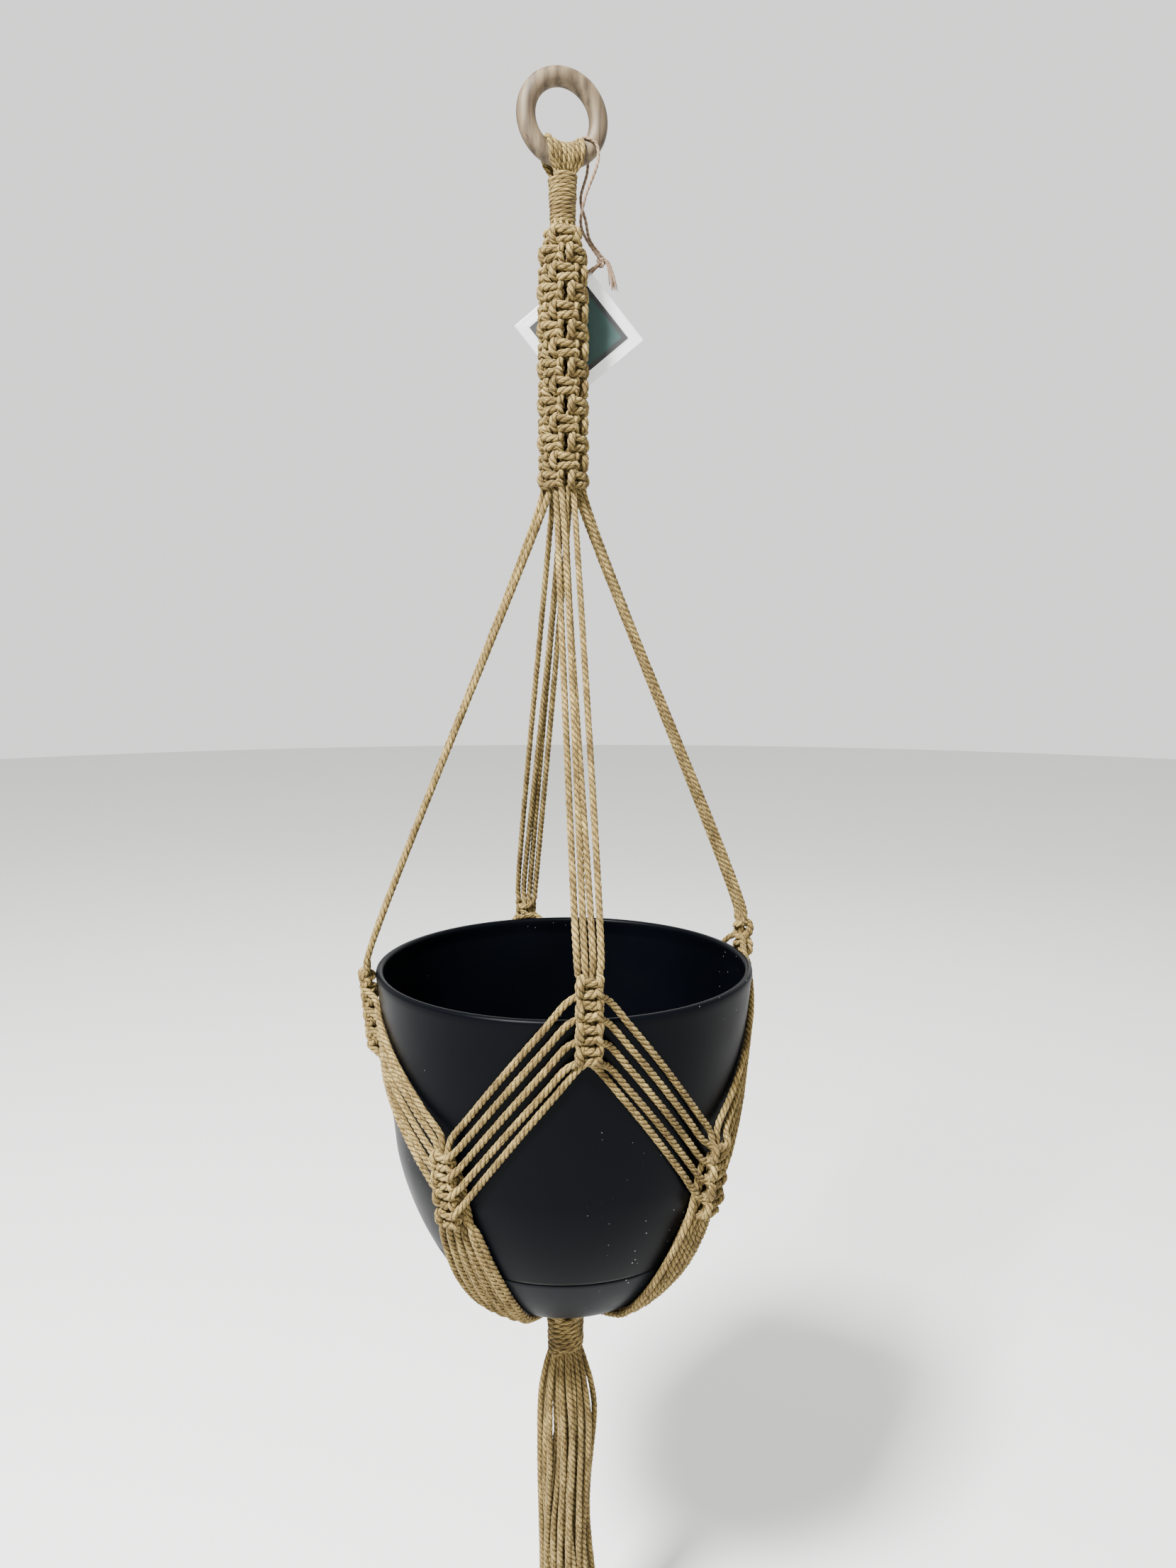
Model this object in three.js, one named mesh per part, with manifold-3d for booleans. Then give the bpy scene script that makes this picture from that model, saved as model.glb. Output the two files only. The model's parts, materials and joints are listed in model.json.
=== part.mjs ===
// Hanging macrame planter: a wooden ring, a knotted cord hanger, and a plastic pot with its
// own saucer, held in the hanger's net. Millimetres, +Z up. The origin is where a hook
// bears, on the inside of the ring at its top. The legs run near +X, +Y, -X and -Y.

import * as THREE from 'three';
import { mergeVertices } from 'three/addons/utils/BufferGeometryUtils.js';
import Module from 'manifold-3d';

// Driving sizes. Heights along the hanger are lengths of its own stretches, top to bottom.
const gap = 0.3;
const cordDiameter = 4.0;
const ringDiameter = 55.0;
const ringTube = 11.0;
const ringTurn = 14.0;
const foldHalfAngle = 33.0;
const foldPlay = 1.2;
const foldUnder = 3.0;
const topWrapDiameter = 17.6;
const topWrapLength = 30.0;
const crownDiameter = 31.6;
const crownWall = 8.0;
const crownRows = 14;
const crownRowPitch = 10.5;
const crownRib = 1.1;
const legHeight = 286.0;
const legFan = 22.5;
const sinnetWidth = 17.4;
const rimSinnetThickness = 9.6;
const junctionSinnetThickness = 12.0;
const sinnetWaist = 0.86;
const rimKnotPitch = 12.2;
const junctionKnotPitch = 11.2;
const knotsPerSinnet = 4;
const potDiameter = 232.0;
const potHeight = 205.0;
const potTaper = 0.095;
const potWall = 3.0;
const lipHeight = 6.0;
const lipThickness = 4.6;
const shoulderDepth = 109.0;
const baseDiameter = 104.0;
const roundness = 1.6;
const saucerDepth = 40.0;
const saucerWall = 2.4;
const saucerPlay = 0.6;
const floorDepth = 188.0;
const drainHoleDiameter = 8.0;
const drainHoleCircle = 76.0;
const netClearance = 0.7;
const cordsPerBand = 5;
const bandRow = 9.6;
const bundleWidth = 33.0;
const bottomWrapDiameter = 24.0;
const bottomWrapLength = 27.0;
const bottomWrapDrop = 27.0;
const tasselLength = 230.0;
const tasselTopDiameter = 27.0;
const tasselEndDiameter = 40.0;
const tasselSwing = 20.0;
const sleeveSide = 55.0;
const sleeveThickness = 2.4;
const cardSide = 42.0;
const cardThickness = 0.6;
const tagRoll = -5.7;
const tagHoleDiameter = 4.0;
const tagHoleInset = 7.0;
const tagGap = 1.4;
const tagShift = 9.5;
const tagDrop = 52.5;
const twineDiameter = 2.0;
const twinePlay = 3.1;
const twineKnotDiameter = 6.4;
const twineLoopLean = 50.0;
const twineOverAngle = -38.0;

// How far each leg's rim sinnet starts above the pot's rim, and how far below the rim each
// junction sinnet starts: a hand-tied hanger isn't quite even.
const legs = [
  { name: 'right', azimuth: 12, rise: 17 },
  { name: 'back', azimuth: 97, rise: 12 },
  { name: 'left', azimuth: 180, rise: -1 },
  { name: 'front', azimuth: 270, rise: 26 },
];
const junctions = [
  { name: 'back_right', azimuth: 54, drop: 84 },
  { name: 'back_left', azimuth: 138, drop: 82 },
  { name: 'front_left', azimuth: 229, drop: 80 },
  { name: 'front_right', azimuth: 312, drop: 84 },
];

// Heights that follow from them.
const ringRadius = (ringDiameter - ringTube) / 2;
const ringCentreZ = -(ringRadius - ringTube / 2);
const foldZ = ringCentreZ - ringRadius;
const topWrapZ = foldZ - ringTube / 2 - foldUnder;
const crownZ = topWrapZ - topWrapLength - gap;
const crownEndZ = crownZ - crownRows * crownRowPitch;
const rimZ = crownEndZ - legHeight;
const potBottomZ = rimZ - potHeight;
const bottomWrapZ = potBottomZ - bottomWrapDrop;
const tasselZ = bottomWrapZ - bottomWrapLength;
const junctionSinnetLength = junctionKnotPitch * knotsPerSinnet;
const potRadius = potDiameter / 2;
const baseRadius = baseDiameter / 2;
const cordRadius = cordDiameter / 2;

const radians = THREE.MathUtils.degToRad;
const wasm = await Module();
wasm.setup();

const cordPaint = new THREE.MeshStandardMaterial({ color: 0xcbb78a, roughness: 0.95 });
const woodPaint = new THREE.MeshStandardMaterial({ color: 0xb39c86, roughness: 0.7 });
const potPaint = new THREE.MeshStandardMaterial({ color: 0x1b1f26, roughness: 0.5 });
const saucerPaint = new THREE.MeshStandardMaterial({ color: 0x2b2f36, roughness: 0.55 });
const cardPaint = new THREE.MeshStandardMaterial({ color: 0x28604f, roughness: 0.4 });
const sleevePaint = new THREE.MeshStandardMaterial({ color: 0xe4e6e8, roughness: 0.2 });
const twinePaint = new THREE.MeshStandardMaterial({ color: 0xb08f7c, roughness: 0.95 });

const planter = new THREE.Group();

function place(name, geometry, material) {
  const mesh = new THREE.Mesh(geometry, material);
  mesh.name = name;
  planter.add(mesh);
  return mesh;
}

// Booleans, on closed meshes whose shared vertices are merged.
function toSolid(geometry) {
  const bare = geometry.clone();
  bare.deleteAttribute('normal');
  bare.deleteAttribute('uv');
  const merged = mergeVertices(bare, 1e-4);
  return new wasm.Manifold(new wasm.Mesh({
    numProp: 3,
    vertProperties: new Float32Array(merged.attributes.position.array),
    triVerts: new Uint32Array(merged.index.array),
  }));
}

function toGeometry(solid) {
  const mesh = solid.getMesh();
  const geometry = new THREE.BufferGeometry();
  geometry.setAttribute('position', new THREE.BufferAttribute(mesh.vertProperties, 3));
  geometry.setIndex(new THREE.BufferAttribute(mesh.triVerts, 1));
  return geometry;
}

// A round bar along a curve, with flat ends.
function bar(curve, radius, steps, sides = 8) {
  const section = new THREE.Shape();
  for (let i = 0; i < sides; i += 1) {
    const turn = (2 * Math.PI * i) / sides;
    const x = radius * Math.cos(turn);
    const y = radius * Math.sin(turn);
    if (i === 0) section.moveTo(x, y);
    else section.lineTo(x, y);
  }
  section.closePath();
  return new THREE.ExtrudeGeometry(section, { steps, extrudePath: curve, bevelEnabled: false });
}

function straightBar(start, end, radius) {
  return bar(new THREE.LineCurve3(start, end), radius, 1);
}

// A closed solid through a row of sections, each the same number of points, wound
// anticlockwise as seen from the far end looking back.
function loft(sections) {
  const count = sections[0].length;
  const points = sections.flat();
  const index = [];
  for (let ring = 0; ring < sections.length - 1; ring += 1) {
    for (let i = 0; i < count; i += 1) {
      const a = ring * count + i;
      const b = ring * count + ((i + 1) % count);
      index.push(a, b, b + count, a, b + count, a + count);
    }
  }
  const last = (sections.length - 1) * count;
  for (let i = 1; i < count - 1; i += 1) {
    index.push(0, i + 1, i);
    index.push(last, last + i, last + i + 1);
  }
  const geometry = new THREE.BufferGeometry();
  geometry.setFromPoints(points);
  geometry.setIndex(index);
  return geometry;
}

// An eight-sided flat section: width along one direction and thickness along the other.
function flatSection(centre, widthways, outwards, width, thickness) {
  const corner = Math.min(width, thickness) * 0.25;
  const w = width / 2;
  const t = thickness / 2;
  const outline = [
    [w, -t + corner], [w, t - corner], [w - corner, t], [-w + corner, t],
    [-w, t - corner], [-w, -t + corner], [-w + corner, -t], [w - corner, -t],
  ];
  return outline.map(([x, y]) => centre.clone()
    .addScaledVector(widthways, x)
    .addScaledVector(outwards, y));
}

// The pot's outside: a straight taper, rounded in below the shoulder to the flat base.
function outerRadius(depth) {
  const taper = potRadius - potTaper * Math.max(depth, 0);
  const share = THREE.MathUtils.clamp((depth - shoulderDepth) / (potHeight - shoulderDepth), 0, 1);
  const turnIn = 1 - (1 - share ** roundness) ** (1 / roundness);
  const taperAtBase = potRadius - potTaper * potHeight;
  return taper - (taperAtBase - baseRadius) * turnIn;
}

// A point held off the pot's outside by a distance square to its surface.
function offPot(azimuth, depth, distance) {
  const step = 0.5;
  const low = Math.min(depth + step, potHeight);
  const slope = (outerRadius(low) - outerRadius(low - 2 * step)) / (2 * step);
  const along = Math.hypot(1, slope);
  const radius = outerRadius(depth) + distance / along;
  const z = rimZ - depth + (distance * slope) / along;
  return new THREE.Vector3(radius * Math.cos(azimuth), radius * Math.sin(azimuth), z);
}

function outward(azimuth) {
  return new THREE.Vector3(Math.cos(azimuth), Math.sin(azimuth), 0);
}

function sideways(azimuth) {
  return new THREE.Vector3(-Math.sin(azimuth), Math.cos(azimuth), 0);
}

// Wooden ring, and the cords folded over it.
const ringTurnAngle = radians(ringTurn);
const ringSideways = new THREE.Vector3(Math.cos(ringTurnAngle), Math.sin(ringTurnAngle), 0);
const ringFacing = new THREE.Vector3(Math.sin(ringTurnAngle), -Math.cos(ringTurnAngle), 0);

function makeRing() {
  const ring = new THREE.TorusGeometry(ringRadius, ringTube / 2, 12, 36);
  ring.rotateX(Math.PI / 2);
  ring.rotateZ(ringTurnAngle);
  ring.translate(0, 0, ringCentreZ);
  place('wood_ring', ring, woodPaint);
}

function ringArc(halfAngle) {
  const points = [];
  const steps = 6;
  for (let i = 0; i <= steps; i += 1) {
    const angle = radians(-90 + halfAngle * ((2 * i) / steps - 1));
    points.push(new THREE.Vector3(0, 0, ringCentreZ)
      .addScaledVector(ringSideways, ringRadius * Math.cos(angle))
      .add(new THREE.Vector3(0, 0, ringRadius * Math.sin(angle))));
  }
  return new THREE.CatmullRomCurve3(points);
}

function makeFold() {
  const channel = ringTube / 2 + foldPlay;
  const cover = toSolid(bar(ringArc(foldHalfAngle), channel + cordDiameter, 6, 12));
  const bore = toSolid(bar(ringArc(foldHalfAngle + 15), channel, 8, 12));
  const neckTop = 2 * ringRadius * Math.sin(radians(foldHalfAngle));
  const neck = toSolid(loft([
    flatSection(new THREE.Vector3(0, 0, foldZ), ringSideways, ringFacing, neckTop, 2 * channel),
    flatSection(new THREE.Vector3(0, 0, topWrapZ - 1), ringSideways, ringFacing,
      topWrapDiameter, topWrapDiameter - cordDiameter),
  ]));
  const reach = ringDiameter;
  const below = new THREE.BoxGeometry(reach, reach, reach);
  below.translate(0, 0, topWrapZ + gap - reach / 2);
  const solid = cover.add(neck).subtract(bore).subtract(toSolid(below));
  place('ring_fold', toGeometry(solid), cordPaint);
}

function makeTopWrap() {
  const wrap = new THREE.CylinderGeometry(
    topWrapDiameter / 2, topWrapDiameter / 2 - 0.6, topWrapLength, 20, 1);
  wrap.rotateX(Math.PI / 2);
  wrap.translate(0, 0, topWrapZ - topWrapLength / 2);
  place('top_wrap', wrap, cordPaint);
}

// The crown is a hollow sleeve of rows of square knots, open at its lower end.
function makeCrown() {
  const radius = crownDiameter / 2;
  const bore = radius - crownWall;
  const top = crownZ;
  const firstRow = 0.72;
  const profile = [new THREE.Vector2(bore, crownEndZ)];
  for (let row = crownRows - 1; row >= 0; row -= 1) {
    const rowZ = top - (row + 0.5) * crownRowPitch;
    const spread = row === 0 ? firstRow : 1;
    profile.push(new THREE.Vector2(radius * spread - crownRib, rowZ - crownRowPitch / 2));
    profile.push(new THREE.Vector2(radius * spread, rowZ));
  }
  profile.push(new THREE.Vector2(topWrapDiameter / 2 + 0.6, top));
  profile.push(new THREE.Vector2(0, top));
  profile.push(new THREE.Vector2(0, top - cordDiameter));
  profile.push(new THREE.Vector2(bore, top - crownRowPitch * 1.5));
  profile.push(profile[0].clone());
  const crown = new THREE.LatheGeometry(profile, 12);
  crown.rotateX(Math.PI / 2);
  place('crown', crown, cordPaint);
}

// Each leg is four cords, from the crown's lower end to the top of its rim sinnet. The legs
// leave the crown a quarter turn apart.
const sinnetRadius = potRadius + netClearance + rimSinnetThickness / 2;

function makeLeg(leg, quarter) {
  const azimuth = radians(leg.azimuth);
  const exitAzimuth = (quarter * Math.PI) / 2;
  const startRadius = crownDiameter / 2 - cordRadius - crownRib;
  const endGap = gap + cordRadius / 2;
  const spread = cordDiameter + 2 * gap;
  const cords = 4;
  for (let i = 0; i < cords; i += 1) {
    const slot = i - (cords - 1) / 2;
    const startAngle = exitAzimuth + radians(legFan * slot);
    const start = outward(startAngle).multiplyScalar(startRadius);
    start.z = crownEndZ - endGap;
    const end = outward(azimuth).multiplyScalar(sinnetRadius)
      .addScaledVector(sideways(azimuth), spread * slot);
    end.z = rimZ + leg.rise + endGap;
    place(`leg_cord_${leg.name}_${i + 1}`, straightBar(start, end, cordRadius), cordPaint);
  }
}

// A sinnet is a short column of square knots that lies on the pot.
function sinnetGeometry(azimuth, topDepth, knotPitch, fullThickness) {
  const sections = [];
  for (let i = 0; i <= 2 * knotsPerSinnet; i += 1) {
    const depth = topDepth + (knotPitch * i) / 2;
    const full = i % 2 === 1 ? 1 : sinnetWaist;
    const thickness = fullThickness * full;
    const centre = outward(azimuth)
      .multiplyScalar(outerRadius(depth) + netClearance + gap + thickness / 2);
    centre.z = rimZ - depth;
    sections.push(flatSection(
      centre, sideways(azimuth), outward(azimuth), sinnetWidth * full, thickness));
  }
  return loft(sections);
}

// A net band is five cords side by side, from a rim sinnet down to a junction sinnet. Their
// ends are joined by a short bar at each sinnet, where the real cords go into its knots.
function makeBand(leg, junction) {
  const legAngle = radians(leg.azimuth);
  let junctionAngle = radians(junction.azimuth);
  if (junctionAngle - legAngle > Math.PI) junctionAngle -= 2 * Math.PI;
  if (legAngle - junctionAngle > Math.PI) junctionAngle += 2 * Math.PI;
  const side = Math.sign(junctionAngle - legAngle);
  const sideGap = sinnetWidth / 2 + cordRadius + 2 * gap;
  const distance = cordRadius + netClearance;
  const firstExit = rimKnotPitch - cordDiameter;
  const starts = [];
  const ends = [];
  let solid = null;
  for (let i = 0; i < cordsPerBand; i += 1) {
    const startDepth = -leg.rise + firstExit + bandRow * i;
    const endDepth = junction.drop + cordRadius + bandRow * i;
    const startAngle = legAngle + (side * sideGap) / outerRadius(startDepth);
    const endAngle = junctionAngle - (side * sideGap) / outerRadius(endDepth);
    const points = [];
    const steps = 7;
    for (let k = 0; k <= steps; k += 1) {
      const share = k / steps;
      const depth = THREE.MathUtils.lerp(startDepth, endDepth, share);
      points.push(offPot(THREE.MathUtils.lerp(startAngle, endAngle, share), depth, distance));
    }
    starts.push(points[0]);
    ends.push(points[steps]);
    const cord = toSolid(bar(new THREE.CatmullRomCurve3(points), cordRadius, steps, 6));
    solid = solid ? solid.add(cord) : cord;
  }
  for (const row of [starts, ends]) {
    const tie = bar(new THREE.LineCurve3(row[0], row[cordsPerBand - 1]), cordRadius - gap, 1, 4);
    solid = solid.add(toSolid(tie));
  }
  place(`net_${leg.name}_to_${junction.name}`, toGeometry(solid), cordPaint);
}

// Ten cords leave each junction, spread over the round of the pot and draw in to the wrap
// below it, as one flat bundle.
function makeBaseBundle(junction) {
  const azimuth = radians(junction.azimuth);
  const thickness = cordDiameter + 2 * gap;
  const startDepth = junction.drop + junctionSinnetLength + 2 * gap;
  const wrapRadius = bottomWrapDiameter / 2;
  const startWidth = sinnetWidth + cordDiameter;
  const spreadAt = 0.35;
  const roundAway = 3;
  const path = [];
  const steps = 7;
  for (let i = 0; i <= steps; i += 1) {
    const share = i / steps;
    const depth = THREE.MathUtils.lerp(startDepth, potHeight - roundAway, share);
    const width = THREE.MathUtils.lerp(startWidth, bundleWidth, Math.min(share / spreadAt, 1));
    path.push({ centre: offPot(azimuth, depth, thickness / 2 + netClearance), width, thickness });
  }
  const under = outward(azimuth).multiplyScalar(baseRadius - roundAway);
  under.z = potBottomZ - netClearance - thickness / 2 - roundAway / 2;
  const middle = outward(azimuth).multiplyScalar(baseRadius / 2);
  middle.z = under.z - roundAway;
  const last = outward(azimuth).multiplyScalar(wrapRadius * 0.8);
  last.z = bottomWrapZ + 2 * gap + cordDiameter;
  path.push({ centre: under, width: bundleWidth * 0.8, thickness });
  path.push({ centre: middle, width: bundleWidth * 0.5, thickness });
  path.push({ centre: last, width: wrapRadius * 0.95, thickness: cordDiameter });
  const sections = path.map((stop, i) => {
    const before = path[Math.max(i - 1, 0)].centre;
    const after = path[Math.min(i + 1, path.length - 1)].centre;
    const forwards = after.clone().sub(before).normalize();
    const square = new THREE.Vector3().crossVectors(forwards, sideways(azimuth));
    return flatSection(stop.centre, sideways(azimuth), square, stop.width, stop.thickness);
  });
  place(`base_bundle_${junction.name}`, loft(sections), cordPaint);
}

function makeBottomWrap() {
  const wrap = new THREE.CylinderGeometry(
    bottomWrapDiameter / 2, bottomWrapDiameter / 2, bottomWrapLength, 20, 1);
  wrap.rotateX(Math.PI / 2);
  wrap.translate(0, 0, bottomWrapZ - bottomWrapLength / 2);
  place('bottom_wrap', wrap, cordPaint);
}

// The tassel's own top is a shallow cone, so that it can swing under the wrap.
function makeTassel() {
  const top = tasselZ - 2 * gap;
  const topRadius = (bottomWrapDiameter - cordRadius) / 2;
  const coneDrop = topRadius * Math.tan(radians(tasselSwing + 2));
  const profile = [
    new THREE.Vector2(0, top - tasselLength),
    new THREE.Vector2(tasselEndDiameter / 2, top - tasselLength),
    new THREE.Vector2(tasselEndDiameter / 2 - 1.5, top - tasselLength * 0.55),
    new THREE.Vector2((tasselTopDiameter + tasselEndDiameter) / 4, top - tasselLength * 0.22),
    new THREE.Vector2(tasselTopDiameter / 2, top - coneDrop - cordDiameter * 2),
    new THREE.Vector2(topRadius, top - coneDrop),
    new THREE.Vector2(0, top),
  ];
  const tassel = new THREE.LatheGeometry(profile, 12);
  tassel.rotateX(Math.PI / 2);
  place('tassel', tassel, cordPaint);
}

// Pot and saucer. The pot's lower part is drawn in to sit inside the saucer, and the ledge
// above it rests on the saucer's edge.
const seamDepth = potHeight - saucerDepth;
const lathePlaces = 32;

function turned(outline) {
  const profile = outline.map(([radius, depth]) => new THREE.Vector2(radius, rimZ - depth));
  const geometry = new THREE.LatheGeometry(profile, lathePlaces);
  geometry.rotateX(Math.PI / 2);
  return geometry;
}

function wallPoints(fromDepth, toDepth, steps, inset) {
  const points = [];
  for (let i = 0; i <= steps; i += 1) {
    const depth = THREE.MathUtils.lerp(fromDepth, toDepth, i / steps);
    points.push([outerRadius(depth) - inset, depth]);
  }
  return points;
}

function makePot() {
  const skirtInset = saucerWall + saucerPlay;
  const floorOuter = floorDepth + potWall;
  const innerFoot = outerRadius(floorDepth) - skirtInset - potWall * 1.4;
  const outline = [
    [0, floorOuter],
    [outerRadius(floorOuter) - skirtInset - 2, floorOuter],
    ...wallPoints(floorOuter - 3, seamDepth, 3, skirtInset),
    ...wallPoints(seamDepth, shoulderDepth, 4, 0),
    [outerRadius(lipHeight), lipHeight],
    [potRadius, lipHeight / 2],
    [potRadius - 0.6, 0.6],
    [potRadius - lipThickness / 2, 0],
    [potRadius - lipThickness + 0.6, 0.6],
    [outerRadius(lipHeight) - lipThickness, lipHeight],
    [outerRadius(lipHeight * 1.6) - potWall, lipHeight * 1.6],
    ...wallPoints(shoulderDepth, seamDepth - 8, 3, potWall),
    ...wallPoints(seamDepth, floorDepth - 5, 2, potWall + skirtInset + 0.6),
    [innerFoot, floorDepth],
    [0, floorDepth],
  ];
  let solid = toSolid(turned(outline));
  const holes = 5;
  for (let i = 0; i < holes; i += 1) {
    const angle = (2 * Math.PI * i) / holes;
    const hole = new THREE.CylinderGeometry(
      drainHoleDiameter / 2, drainHoleDiameter / 2, potWall * 4, 10);
    hole.rotateX(Math.PI / 2);
    hole.translate(
      (drainHoleCircle / 2) * Math.cos(angle),
      (drainHoleCircle / 2) * Math.sin(angle),
      rimZ - floorDepth - potWall / 2);
    solid = solid.subtract(toSolid(hole));
  }
  place('pot', toGeometry(solid), potPaint);
}

function makeSaucer() {
  const edgeDepth = seamDepth + gap;
  const wallEnd = potHeight - 4;
  const inner = wallPoints(edgeDepth, wallEnd - saucerWall, 5, saucerWall);
  const outline = [
    [0, potHeight],
    [baseRadius, potHeight],
    ...wallPoints(wallEnd, edgeDepth, 5, 0),
    ...inner,
    [baseRadius - 2, potHeight - saucerWall],
    [0, potHeight - saucerWall],
  ];
  place('saucer', turned(outline), saucerPaint);
}

// The tag hangs cornerwise behind the crown: a printed card in a clear sleeve that is open
// along one edge, held by a loop of twine through its top corner.
const tagFacing = radians(-96);
const tagNormal = outward(tagFacing);
const tagAcross = sideways(tagFacing);
const tagOffset = crownDiameter / 2 + sleeveThickness / 2 + tagGap;
const tagCentreZ = crownZ - tagDrop;

function onTag(across, up, behind = 0) {
  return new THREE.Vector3(0, 0, tagCentreZ + up)
    .addScaledVector(tagAcross, tagShift + across)
    .addScaledVector(tagNormal, -tagOffset - behind);
}

function turnToTag(geometry) {
  const basis = new THREE.Matrix4().makeBasis(
    tagAcross, new THREE.Vector3(0, 0, 1), tagNormal);
  geometry.rotateZ(radians(45 + tagRoll));
  geometry.applyMatrix4(basis);
  const centre = onTag(0, 0);
  geometry.translate(centre.x, centre.y, centre.z);
  return geometry;
}

const holeFromCentre = sleeveSide / Math.SQRT2 - tagHoleInset;
const holeAcross = -holeFromCentre * Math.sin(radians(tagRoll));
const holeUp = holeFromCentre * Math.cos(radians(tagRoll));

function makeTag() {
  const pocket = cardThickness + 2 * gap;
  const room = cardSide + 2 * gap;
  const mouth = sleeveSide - room;
  let sleeve = toSolid(new THREE.BoxGeometry(sleeveSide, sleeveSide, sleeveThickness));
  const slot = new THREE.BoxGeometry(room, room + mouth, pocket);
  slot.translate(0, -mouth / 2, 0);
  sleeve = sleeve.subtract(toSolid(slot));
  const hole = new THREE.CylinderGeometry(
    tagHoleDiameter / 2, tagHoleDiameter / 2, sleeveThickness * 3, 12);
  hole.rotateX(Math.PI / 2);
  hole.translate(holeFromCentre * Math.SQRT1_2, holeFromCentre * Math.SQRT1_2, 0);
  sleeve = sleeve.subtract(toSolid(hole));
  place('tag_sleeve', turnToTag(toGeometry(sleeve)), sleevePaint);
  const card = new THREE.BoxGeometry(cardSide, cardSide, cardThickness);
  place('tag_card', turnToTag(card), cardPaint);
}

// Twine: a small loop through the sleeve's corner, a knot beside it, and a long loop that
// goes up beside the wrap and over the ring.
const loopRadius = tagHoleInset * 0.63;
const loopLean = radians(twineLoopLean);
const knotRadius = twineKnotDiameter / 2;
const knotReach = 2 * loopRadius + twineDiameter / 2 + gap + knotRadius;
const knotAcross = holeAcross + knotReach * Math.sin(loopLean);
const knotUp = holeUp + knotReach * Math.cos(loopLean);

function makeTwine() {
  const loop = new THREE.TorusGeometry(loopRadius, twineDiameter / 2 - 0.1, 6, 14);
  const lean = tagAcross.clone().multiplyScalar(Math.sin(loopLean));
  lean.z = Math.cos(loopLean);
  const crosswise = new THREE.Vector3().crossVectors(lean, tagNormal);
  loop.applyMatrix4(new THREE.Matrix4().makeBasis(lean, tagNormal, crosswise));
  const loopCentre = onTag(
    holeAcross + loopRadius * Math.sin(loopLean), holeUp + loopRadius * Math.cos(loopLean));
  loop.translate(loopCentre.x, loopCentre.y, loopCentre.z);
  place('tag_loop', loop, twinePaint);

  const knot = new THREE.SphereGeometry(knotRadius, 10, 6);
  const knotCentre = onTag(knotAcross, knotUp);
  knot.translate(knotCentre.x, knotCentre.y, knotCentre.z);
  place('tag_knot', knot, twinePaint);

  const overAngle = radians(twineOverAngle);
  const hug = ringTube / 2 + twineDiameter / 2 + twinePlay;
  const inwards = ringSideways.clone().multiplyScalar(-Math.cos(overAngle));
  inwards.z = -Math.sin(overAngle);
  const over = new THREE.Vector3(0, 0, ringCentreZ)
    .addScaledVector(inwards, -ringRadius);
  const hold = knotRadius + gap + twineDiameter / 2;
  const onRing = (facing, towardsCentre, along, down) => over.clone()
    .addScaledVector(ringFacing, facing * hug)
    .addScaledVector(inwards, towardsCentre * hug)
    .addScaledVector(ringSideways, along)
    .add(new THREE.Vector3(0, 0, -down));
  const besideWrap = (across, down, behind) => (
    onTag(across, topWrapZ - tagCentreZ - down, behind));
  const besideCrown = (across, down, behind) => (
    onTag(across, crownZ - tagCentreZ - down, behind));
  const points = [
    knotCentre.clone().add(new THREE.Vector3(-1.2, -0.6, hold)),
    besideCrown(4, -1, -5),
    besideWrap(1, 24, -14),
    besideWrap(3.5, 12, -18),
    onRing(1, 0, 1.6, 9),
    onRing(1, 0, 0.6, 0),
    onRing(0.7, 0.72, 0, 0),
    onRing(0, 1, 0, 0),
    onRing(-0.7, 0.72, 0, 0),
    onRing(-1, 0, 0.6, 0),
    onRing(-1.1, 0, 1, 10),
    besideWrap(1, 10, -7.5),
    besideWrap(4, 22, -8.5),
    besideCrown(6.5, 0, -1),
    knotCentre.clone().add(new THREE.Vector3(1.6, 0.8, hold)),
  ];
  const route = new THREE.CatmullRomCurve3(points, false, 'centripetal');
  place('tag_twine', bar(route, twineDiameter / 2, 40), twinePaint);
}

makeRing();
makeFold();
makeTopWrap();
makeCrown();
legs.forEach(makeLeg);
legs.forEach((leg) => {
  const geometry = sinnetGeometry(
    radians(leg.azimuth), -leg.rise, rimKnotPitch, rimSinnetThickness);
  place(`rim_sinnet_${leg.name}`, geometry, cordPaint);
});
for (let i = 0; i < legs.length; i += 1) {
  makeBand(legs[i], junctions[i]);
  makeBand(legs[i], junctions[(i + 3) % legs.length]);
}
junctions.forEach((junction) => {
  const geometry = sinnetGeometry(
    radians(junction.azimuth), junction.drop, junctionKnotPitch, junctionSinnetThickness);
  place(`junction_sinnet_${junction.name}`, geometry, cordPaint);
  makeBaseBundle(junction);
});
makeBottomWrap();
makeTassel();
makePot();
makeSaucer();
makeTag();
makeTwine();

export default planter;
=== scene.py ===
import json
import math

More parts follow.
